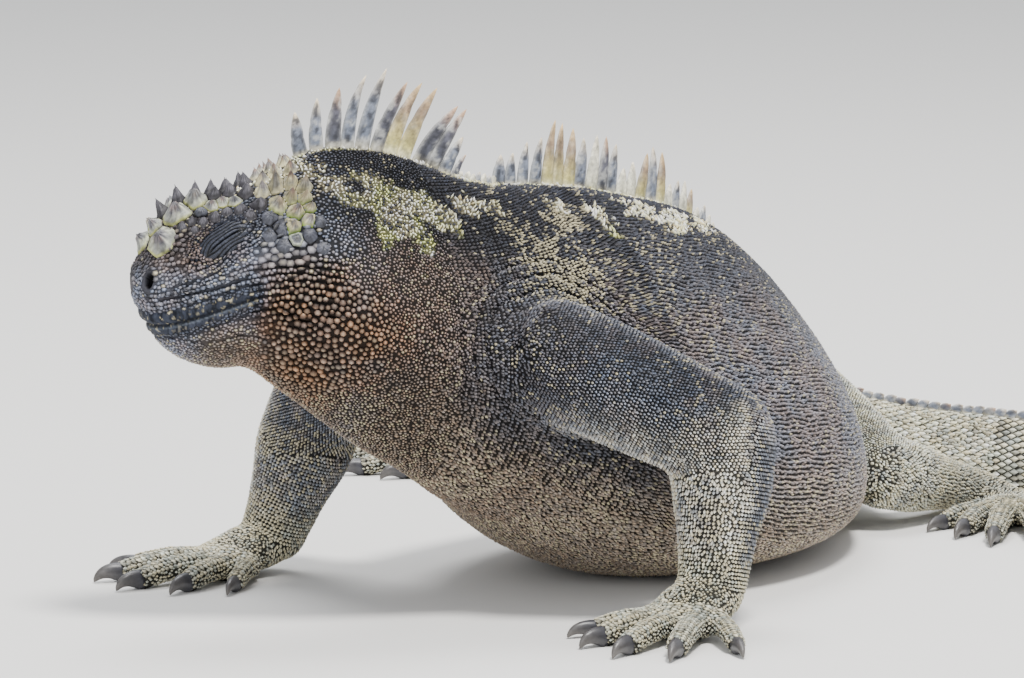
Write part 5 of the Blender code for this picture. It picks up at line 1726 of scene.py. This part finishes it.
def casque(tree):
    """The plates and cones of the head as one mesh, with their colours and unwrap."""
    draw = np.random.default_rng(SEED + 4)
    everything = []
    for s, turn, radius, height, kind in PLATES:
        everything.append((s, -turn if turn else 0.0, radius, height, kind))
        if turn:
            jog = draw.uniform(-0.7, 0.7)
            everything.append((s + jog, turn * draw.uniform(0.94, 1.06), radius, height, kind))
    centres = [trunk_points(s, (-turn) % 1.0) for s, turn, _, _, _ in everything]
    normals = [trunk_normal(np.array([s]), np.array([(-turn) % 1.0]))[0] for s, turn, _, _, _ in everything]
    count = 36
    angle = np.arange(count) / count * 2 * math.pi
    verts, faces, tints, uvs, first = [], [], [], [], 0
    for number, (s, turn, radius, height, kind) in enumerate(everything):
        centre, normal = np.asarray(centres[number], float).reshape(3), normals[number]
        ahead = np.array([*on_backbone(s)[1][0], 0.0])
        ahead = unit(ahead - normal * np.dot(ahead, normal))
        side = np.cross(normal, ahead)
        others = []
        for k, other in enumerate(centres):
            if k != number:
                away = np.asarray(other, float).reshape(3) - centre
                share = radius / (radius + everything[k][2])
                others.append((np.array([away @ ahead, away @ side]), share))
        corners = int(draw.integers(5, 7))
        corner = (angle + draw.uniform(0, 6)) % (2 * math.pi / corners) - math.pi / corners
        own_shape = radius * 1.22 * math.cos(math.pi / corners) / np.cos(corner)
        reach = np.minimum(polygon_reach(np.zeros(2), others, angle, radius * 1.3), own_shape) * 0.985
        lean = ahead * (0.30 if kind in "td" else 0.12) * radius
        lean = lean + np.array([0, 0, 1.0]) * radius * (0.35 if kind in "td" else 0.18)
        tall = height * draw.uniform(0.8, 1.15) * {"w": 0.95, "d": 1.15, "t": 1.25, "f": 1.0, "r": 1.0}[kind]
        lowness = turn_share(turn)
        own_tint = draw.uniform(0.82, 1.16)
        palette = PLATE_COLOURS[kind]
        ridge = draw.uniform(0.4, 1.0) if kind == "w" else 0.2
        rows = PLATE_ROWS[kind]
        for share, up, tone in rows:
            flat = centre + (np.outer(np.cos(angle) * reach * share, ahead)
                             + np.outer(np.sin(angle) * reach * share, side))
            spots = []
            for spot in (flat * MM).tolist():
                place, _, _, _ = tree.find_nearest(spot, 0.02)
                spots.append(np.array(place) / MM if place is not None else np.array(spot) / MM)
            spots = np.array(spots)
            ribs = 1 + (0.13 if kind in "wd" else 0.06) * np.cos(angle * 9 + number) * bump(share - 0.45, 0.35)
            rise = max(up, -0.3) * tall * ribs if up > 0 else np.full(count, -0.8)
            keel = 1 + 0.25 * ridge * np.abs(np.cos(angle)) * (0.2 < share < 0.8)
            spots = spots + normal * (rise * keel)[:, None] + lean * max(0, 1 - share) * (1 if up > 0 else 0)
            verts.append(spots)
            rough = layered_noise(spots, 1.6, 40 + number, 3) - 0.5
            if up > 0:
                spots = spots + normal * (rough * 0.3 * tall)[:, None]
                verts[-1] = spots
            grain = 0.95 + 1.1 * rough - 0.35 * eased(lattice_noise(spots, 2.4, 77), 0.6, 0.8)
            downward = 0.5 - 0.5 * (np.cos(angle) * ahead[2] + np.sin(angle) * side[2])
            tint = np.tile(palette[tone], (count, 1))
            if kind in "wt":
                edge = eased(share, *((0.80, 0.94) if kind == "w" else (0.55, 0.9)))
                edge = edge * (0.2 + 0.8 * eased(downward, 0.35, 0.75))
                green = PLATE_COLOURS[kind][1] * (0.55 + 0.45 * (1 - lowness) if kind == "t" else 1.0)
                tint = mixed(np.tile(palette[2], (count, 1)), green, edge * (lowness if kind == "t" else 0.9))
                peaked = eased(share + 0.5 * rough, *((0.62, 0.38) if kind == "w" else (0.55, 0.3)))
                warm = mixed(np.tile(palette[3], (count, 1)), srgb(128, 104, 90), eased(rough, -0.1, 0.2) * 0.6)
                tint = mixed(tint, warm, peaked * (0.5 + 0.5 * eased(own_tint, 0.82, 1.0)))
                grey = eased(layered_noise(spots, 2.2, 140 + number, 3), 0.44, 0.58) * 0.7
                tint = mixed(tint, srgb(112, 114, 118), grey * (1 - edge))
                tint = tint * (0.25 if up <= 0 else 1.0)
            ribbed = 1 + 0.3 * np.cos(angle * 9 + number) * bump(share - 0.4, 0.3)
            ribbed = ribbed * (1 - 0.35 * (kind in "fd") * eased(lattice_noise(spots, 1.1, 78), 0.5, 0.7))
            tints.append(tint * (own_tint * grain * ribbed)[:, None])
            uvs.append(np.column_stack([s / 70 + np.cos(angle) * 0.0015,
                                        0.5 + turn * 2 + np.sin(angle) * 0.0015]))
        top = centre + normal * tall * 1.08 + lean
        verts.append(top[None])
        tints.append((palette[3] * own_tint)[None])
        uvs.append(np.array([[s / 70, 0.5 + turn * 2]]))
        bottom = centre - normal * 1.6
        verts.append(bottom[None])
        tints.append(palette[0][None])
        uvs.append(np.array([[s / 70, 0.5 + turn * 2]]))
        k = np.arange(count)
        n = (k + 1) % count
        for row in range(len(rows) - 1):
            a, b = first + row * count, first + (row + 1) * count
            faces += [np.stack([a + k, a + n, b + n], 1), np.stack([a + k, b + n, b + k], 1)]
        last = first + (len(rows) - 1) * count
        tip, foot = first + len(rows) * count, first + len(rows) * count + 1
        faces += [np.stack([last + k, last + n, np.full(count, tip)], 1),
                  np.stack([first + n, first + k, np.full(count, foot)], 1)]
        first += len(rows) * count + 2
    verts, faces = np.concatenate(verts), np.concatenate(faces)
    made = mesh_object("casque_plates", verts, faces)
    put_tint(made.data, np.concatenate(tints))
    uvs = np.concatenate(uvs)
    layer = made.data.uv_layers.new(name="OFBake")
    layer.data.foreach_set("uv", uvs[faces.ravel()].astype(np.float32).ravel())
    return made


CHALK = srgb(206, 206, 200)
SPINE_COLOURS = {  # foot, body, upper part, tip
    "s": (srgb(196, 190, 168), srgb(98, 106, 122), srgb(112, 118, 132), srgb(222, 206, 178)),
    "d": (srgb(170, 164, 142), srgb(66, 69, 80), srgb(82, 81, 92), srgb(196, 160, 128)),
    "y": (srgb(222, 216, 170), srgb(186, 176, 108), srgb(140, 118, 96), srgb(206, 176, 128)),
    "c": (srgb(206, 202, 166), srgb(212, 210, 186), srgb(220, 216, 196), srgb(232, 222, 196)),
}


def crest():
    """Every spine of the crest as one mesh, flattened and curving back."""
    draw = np.random.default_rng(SEED + 7)
    verts, faces, tints, uvs, first = [], [], [], [], 0
    for start, spacing, foot, thick, lean_a, lean_b, heights, kinds in CREST:
        for number, tall in enumerate(heights):
            s = start + spacing * (number + draw.uniform(-0.09, 0.09))
            if s > TAIL_END - 14:
                continue
            share_along = number / (len(heights) - 1)
            lean = lean_a + (lean_b - lean_a) * share_along + draw.uniform(-3, 3)
            point, way = on_backbone(s)
            point, way = point[0], way[0]
            back = curve_through(SECTIONS, [s - 2, s, s + 2])[:, 0]
            along = unit(np.array([*way, (back[2] - back[0]) / 4]))
            across = np.array([-way[1], way[0], 0.0])
            up = np.cross(along, across)
            up *= np.sign(up[2])
            base = np.array([*point, back[1] - COAT])
            sides = 20 if tall > 6 and s < 300 else 8
            levels = np.arange(26) / 26.5 if tall > 6 and s < 300 else (0.0, 0.25, 0.55, 0.8)
            angle = np.arange(sides) / sides * 2 * math.pi
            palette = SPINE_COLOURS[kinds[number % len(kinds)]]
            tall = tall * (1.0 if tall > 8 else draw.uniform(0.85, 1.08))
            wide = foot * draw.uniform(0.9, 1.08) * (1.16 if s < 300 else 1.0)
            nick = draw.uniform(0.35, 0.8)
            bow = draw.uniform(-0.35, 0.5)
            sway = across * draw.uniform(-0.5, 0.5) * min(1, tall / 20)
            rings = [(-2.6, 1.02, 0.0, 0)]
            for share in levels:
                taper = (1 - share ** (2.3 + 0.6 * bow)) ** 0.82 * (1 - 0.10 * bump(share - nick, 0.06))
                curve = lean * (0.25 + 0.75 * share) + 6 * bow * math.sin(share * math.pi)
                rings.append((share * tall, max(taper, 0.1), math.radians(curve), share))
            blotch = draw.uniform(0, 50)
            for high, size, tilt, share in rings:
                way_up = up * math.cos(tilt) + along * math.sin(tilt)
                centre = base + way_up * max(high, 0) + up * min(high, 0) + sway * share**2 * 2
                cross = along * math.cos(tilt) - up * math.sin(tilt)
                flat = wide / 2 * size
                deep = thick / 2 * (size ** 0.8)
                ring = (centre + np.outer(np.cos(angle) * flat, cross)
                        + np.outer(np.sin(angle) * deep, across))
                verts.append(ring)
                colours = np.array(palette)
                tone = np.array([np.interp(share, (0, 0.12, 0.6, 1.0), colours[:, k]) for k in range(3)])
                streak = layered_noise(ring * [1, 1, 0.35] + blotch, 1.2, 61, 2)
                spots = layered_noise(ring * [1, 1, 0.7] + blotch, 1.9, 62, 3)
                dull = kinds[number % len(kinds)] in "ds"
                shade = 0.4 + 1.1 * streak
                edge = np.abs(np.cos(angle)) ** 4
                tint = tone * shade[:, None]
                tint = mixed(tint, CHALK, (0.55 * edge + 0.5 * eased(spots, 0.56, 0.66)) * (0.75 if dull else 0.3))
                ink = eased(spots, 0.44, 0.36) * (0.8 if dull else 0.35) * (1 - edge)
                tint = mixed(tint, CHARCOAL, ink)
                tints.append(mixed(tint, palette[3], np.full(sides, eased(share, 0.84, 0.96) * 0.7)))
                uvs.append(np.column_stack([
                    s / TAIL_END + np.cos(angle) * 0.0012, np.full(sides, 0.1 + 0.8 * share)]))
            tilt = math.radians(lean)
            tip = base + (up * math.cos(tilt) + along * math.sin(tilt)) * tall + sway * 2
            verts += [tip[None], (base - up * 3.0)[None]]
            tints += [np.array(palette[3])[None], np.array(palette[0])[None]]
            uvs += [np.array([[s / TAIL_END, 0.92]]), np.array([[s / TAIL_END, 0.08]])]
            k = np.arange(sides)
            n = (k + 1) % sides
            rows = len(rings)
            for row in range(rows - 1):
                a, b = first + row * sides, first + (row + 1) * sides
                faces += [np.stack([a + k, a + n, b + n], 1), np.stack([a + k, b + n, b + k], 1)]
            last, end = first + (rows - 1) * sides, first + rows * sides
            faces += [np.stack([last + k, last + n, np.full(sides, end)], 1),
                      np.stack([first + n, first + k, np.full(sides, end + 1)], 1)]
            first += rows * sides + 2
    verts, faces = np.concatenate(verts), np.concatenate(faces)
    made = mesh_object("crest_spines", verts, faces)
    recalculated(made)
    put_tint(made.data, np.concatenate(tints))
    uvs = np.concatenate(uvs)
    loops = np.empty(len(made.data.loops), np.int32)
    made.data.loops.foreach_get("vertex_index", loops)
    layer = made.data.uv_layers.new(name="OFBake")
    layer.data.foreach_set("uv", uvs[loops].astype(np.float32).ravel())
    return made


def recalculated(thing):
    """Turn every closed surface of an object outward."""
    shape = bmesh.new()
    shape.from_mesh(thing.data)
    bmesh.ops.recalc_face_normals(shape, faces=shape.faces)
    shape.to_mesh(thing.data)
    shape.free()
    thing.data.polygons.foreach_set("use_smooth", np.ones(len(thing.data.polygons), bool))


def lids(name):
    """The closed lids of one eye: a low dome with a slit, rolled edges and fine folds."""
    centre, long, short, normal = FEATURES[name]["eye"]
    around = 150
    steps = 84
    tilt = np.linspace(-math.pi / 2 + 0.05, math.pi / 2 - 0.02, steps)
    angle = np.arange(around) / around * 2 * math.pi
    rings, tints = [], []
    for lean in tilt:
        rho = math.cos(lean)
        x = np.cos(angle) * rho * (EYE_SIZE[0] - 0.1)
        y = np.sin(angle) * rho * (EYE_SIZE[1] - 0.1)
        folds = lid_folds(x, y)
        short_of_corner = eased(np.abs(x), 7.6, 6.0)
        slit = bump(slit_rings(x, y) - 0.34 * np.maximum(np.abs(x) - 3.6, 0), 0.24) * short_of_corner
        rolled = bump(slit_rings(x, y) - 0.75, 0.35) * short_of_corner
        beads = lattice_noise(np.column_stack([x * 1.5, y * 1.9, x * 0]), 1.0, 81)
        high = np.full(around, math.sin(lean) * (2.4 if lean < 0 else 2.2)) - 0.7
        if lean >= 0:
            detail = 0.22 * rolled + 0.3 * (beads - 0.5) - 0.5 * folds - 0.9 * slit
            high = high + detail * eased(rho, 1.0, 0.96)
        spots = centre + np.outer(x, long) + np.outer(y, short) + np.outer(high, normal)
        rings.append(spots)
        tone = lid_tint(x, y) * (1 + 0.35 * rolled)[:, None]
        # The slit between the lids is painted near black: painted shade; the rolled edges are made lighter.
        tints.append(mixed(tone, srgb(8, 9, 12), np.clip(slit * 1.4, 0, 1)))
    verts, faces = tube(np.array(rings))
    made = mesh_object(f"lids_{name}", verts, faces)
    recalculated(made)
    end = srgb(62, 64, 76)[None]
    put_tint(made.data, np.concatenate([*tints, end, end]))
    return made


def claws():
    """A curved claw at the end of every digit."""
    made = []
    for name, (palm, digits) in PAWS.items():
        for number, (_, path, way, thick) in enumerate(digits, 1):
            end = path[-1]
            radius = thick * 0.84
            start = end + way * JOINT_GAP
            rise = start[2] - 0.5
            bend = math.radians(74)
            sides, steps = 16, 12
            angle = np.arange(sides) / sides * 2 * math.pi + math.pi / 6
            side = np.array([-way[1], way[0], 0.0])
            rings, tints = [], []
            for k in range(-1, steps):
                share = max(k, 0) / (steps - 1)
                turn = bend * share
                forward = CLAW_LENGTH * 0.8 * math.sin(turn) / math.sin(bend) - (2.0 if k < 0 else 0)
                drop = (1 - math.cos(turn)) / (1 - math.cos(bend)) * rise
                centre = start + way * forward + np.array([0, 0, 0.9 * math.sin(share * math.pi) - drop])
                axis = way * math.cos(turn * 0.75) - np.array([0, 0, math.sin(turn * 0.75)])
                top = np.cross(axis, side)
                size = radius * (0.93 * (1 - share) ** 0.75 + 0.05)
                ring = (centre + np.outer(np.cos(angle) * size * 0.7, side)
                        + np.outer(np.sin(angle) * size * 0.96, top))
                ring[:, 2] = np.maximum(ring[:, 2], 0.03)
                rings.append(ring)
                tone = mixed(srgb(52, 52, 58)[None].repeat(sides, 0), srgb(92, 88, 84)[None], np.full(sides, share))
                grain = 0.8 + 0.4 * lattice_noise(ring * 0.5 + 9 * number, 1.0, 90)
                tints.append(tone * grain[:, None])
            verts, faces = tube(np.array(rings))
            nail = mesh_object(f"nail_{name}_{number}", verts, faces)
            recalculated(nail)
            put_tint(nail.data, np.concatenate([*tints, tints[0][:1], tints[-1][:1]]))
            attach(nail, "root")
            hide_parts(f"claw_{name}_{number}")
            made.append(nail)
    return made


# Materials.

def tinted_material(name, roughness, specular, grain, relief, mottle=0.25, coat=0.0):
    """A hide-like material: the mesh's own colours, mottled, with uneven gloss and a fine grain.

    The grain is the size of the relief in metres, and relief the height of its bump.
    """
    made = bpy.data.materials.new(name)
    made.use_nodes = True
    tree = made.node_tree
    nodes, links = tree.nodes, tree.links
    shader = nodes["Principled BSDF"]
    shader.inputs["Specular IOR Level"].default_value = specular
    shader.inputs["Coat Weight"].default_value = coat
    shader.inputs["Coat Roughness"].default_value = 0.35
    place = nodes.new("ShaderNodeTexCoord")
    tint = nodes.new("ShaderNodeAttribute")
    tint.attribute_name = "tint"
    speck = nodes.new("ShaderNodeTexNoise")
    speck.inputs["Scale"].default_value = 1 / grain
    speck.inputs["Detail"].default_value = 4
    speck.inputs["Roughness"].default_value = 0.6
    links.new(place.outputs["Object"], speck.inputs["Vector"])
    spread = nodes.new("ShaderNodeMapRange")
    spread.inputs["From Min"].default_value = 0.3
    spread.inputs["From Max"].default_value = 0.7
    spread.inputs["To Min"].default_value = 1 - mottle
    spread.inputs["To Max"].default_value = 1 + mottle
    links.new(speck.outputs["Fac"], spread.inputs["Value"])
    shade = nodes.new("ShaderNodeVectorMath")
    shade.operation = "SCALE"
    links.new(tint.outputs["Color"], shade.inputs[0])
    links.new(spread.outputs["Result"], shade.inputs["Scale"])
    links.new(shade.outputs["Vector"], shader.inputs["Base Color"])
    wear = nodes.new("ShaderNodeTexNoise")
    wear.inputs["Scale"].default_value = 0.25 / grain
    wear.inputs["Detail"].default_value = 3
    links.new(place.outputs["Object"], wear.inputs["Vector"])
    gloss = nodes.new("ShaderNodeMapRange")
    gloss.inputs["From Min"].default_value = 0.3
    gloss.inputs["From Max"].default_value = 0.7
    gloss.inputs["To Min"].default_value = roughness - 0.1
    gloss.inputs["To Max"].default_value = min(1.0, roughness + 0.12)
    links.new(wear.outputs["Fac"], gloss.inputs["Value"])
    links.new(gloss.outputs["Result"], shader.inputs["Roughness"])
    rise = nodes.new("ShaderNodeBump")
    rise.inputs["Strength"].default_value = 0.6
    rise.inputs["Distance"].default_value = relief
    links.new(speck.outputs["Fac"], rise.inputs["Height"])
    links.new(rise.outputs["Normal"], shader.inputs["Normal"])
    return made


def floor_material():
    made = bpy.data.materials.new("pale_floor")
    made.use_nodes = True
    shader = made.node_tree.nodes["Principled BSDF"]
    shader.inputs["Base Color"].default_value = (0.78, 0.77, 0.75, 1)
    shader.inputs["Roughness"].default_value = 0.9
    return made


def camera():
    """The camera at the photo's viewing angle, with its framing."""
    turn, lift = math.radians(VIEW_TURN), math.radians(VIEW_LIFT)
    back = Vector((math.sin(turn) * math.cos(lift), -math.cos(turn) * math.cos(lift), math.sin(lift)))
    right = Vector((math.cos(turn), math.sin(turn), 0))
    up = back.cross(right)
    data = bpy.data.cameras.new("camera")
    made = bpy.data.objects.new("camera", data)
    bpy.context.scene.collection.objects.link(made)
    data.sensor_width = 36
    data.lens = VIEW_FOCAL * 36 / PHOTO[0]
    data.shift_x = -(VIEW_ORIGIN[0] - PHOTO[0] / 2) / PHOTO[0]
    data.shift_y = (VIEW_ORIGIN[1] - PHOTO[1] / 2) / PHOTO[0]
    data.clip_start, data.clip_end = 0.1, 40
    made.matrix_world = Matrix(
        [(right[k], up[k], back[k], back[k] * VIEW_DISTANCE) for k in range(3)] + [(0, 0, 0, 1)])
    bpy.context.scene.camera = made


def soft_light(name, place, target, size, power, colour=(1, 1, 1)):
    data = bpy.data.lights.new(name, "AREA")
    data.shape = "DISK"
    data.size = size
    data.energy = power
    data.color = colour
    made = bpy.data.objects.new(name, data)
    bpy.context.scene.collection.objects.link(made)
    made.location = place
    made.rotation_euler = (Vector(target) - Vector(place)).to_track_quat("-Z", "Y").to_euler()


def studio():
    """A pale floor and soft light from above."""
    world = bpy.data.worlds.new("studio")
    world.use_nodes = True
    world.node_tree.nodes["Background"].inputs["Color"].default_value = (0.86, 0.89, 0.93, 1)
    world.node_tree.nodes["Background"].inputs["Strength"].default_value = 0.9
    bpy.context.scene.world = world
    soft_light("key", (-0.35, -0.9, 2.3), (0, 0, 0.08), 0.5, 88, (1.0, 0.98, 0.95))
    soft_light("top", (0.5, 0.6, 2.0), (0, 0, 0.08), 1.0, 30)
    soft_light("fill", (-2.0, -1.3, 0.9), (0, 0, 0.1), 1.4, 16)
    bpy.ops.mesh.primitive_circle_add(vertices=128, radius=14, fill_type="NGON", location=(0, 0, 0))
    floor = bpy.context.object
    floor.name = "floor"
    floor.data.materials.append(floor_material())


def finished(thing, material):
    thing.data.materials.clear()
    thing.data.materials.append(material)
    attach(thing, "root")


def main():
    camera()
    studio()
    hide = tinted_material("hide", 0.66, 0.12, 0.0016, 0.00012, 0.3)
    scales = tinted_material("scales", 0.5, 0.34, 0.0012, 0.00006, 0.2)
    horn = tinted_material("horn", 0.52, 0.45, 0.0016, 0.00022, 0.34)
    lid = tinted_material("lid", 0.5, 0.3, 0.0009, 0.00008, 0.25)
    nail = tinted_material("nail", 0.4, 0.5, 0.0018, 0.0001, 0.25, 0.15)
    skin, _ = dressed_skin()
    finished(skin, hide)
    limbs = [f"{part}_{side}" for part in ("arm", "hand", "shin", "foot") for side in SIDES]
    flesh = ["head", "neck", "torso", "thigh_right", *limbs, *(f"tail_{k}" for k in range(1, 6))]
    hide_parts(*flesh)
    tree = BVHTree.FromObject(skin, bpy.context.evaluated_depsgraph_get())
    for piece in build_coat(skin):
        finished(piece, scales)
    finished(casque(tree), horn)
    finished(crest(), horn)
    for name in SIDES:
        piece = lids(name)
        finished(piece, lid)
        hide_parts(f"eye_{name}")
    for piece in claws():
        piece.data.materials.append(nail)
    total = sum(len(p.data.polygons) for p in bpy.data.objects if p.type == "MESH")
    print("faces in all:", total)


main()
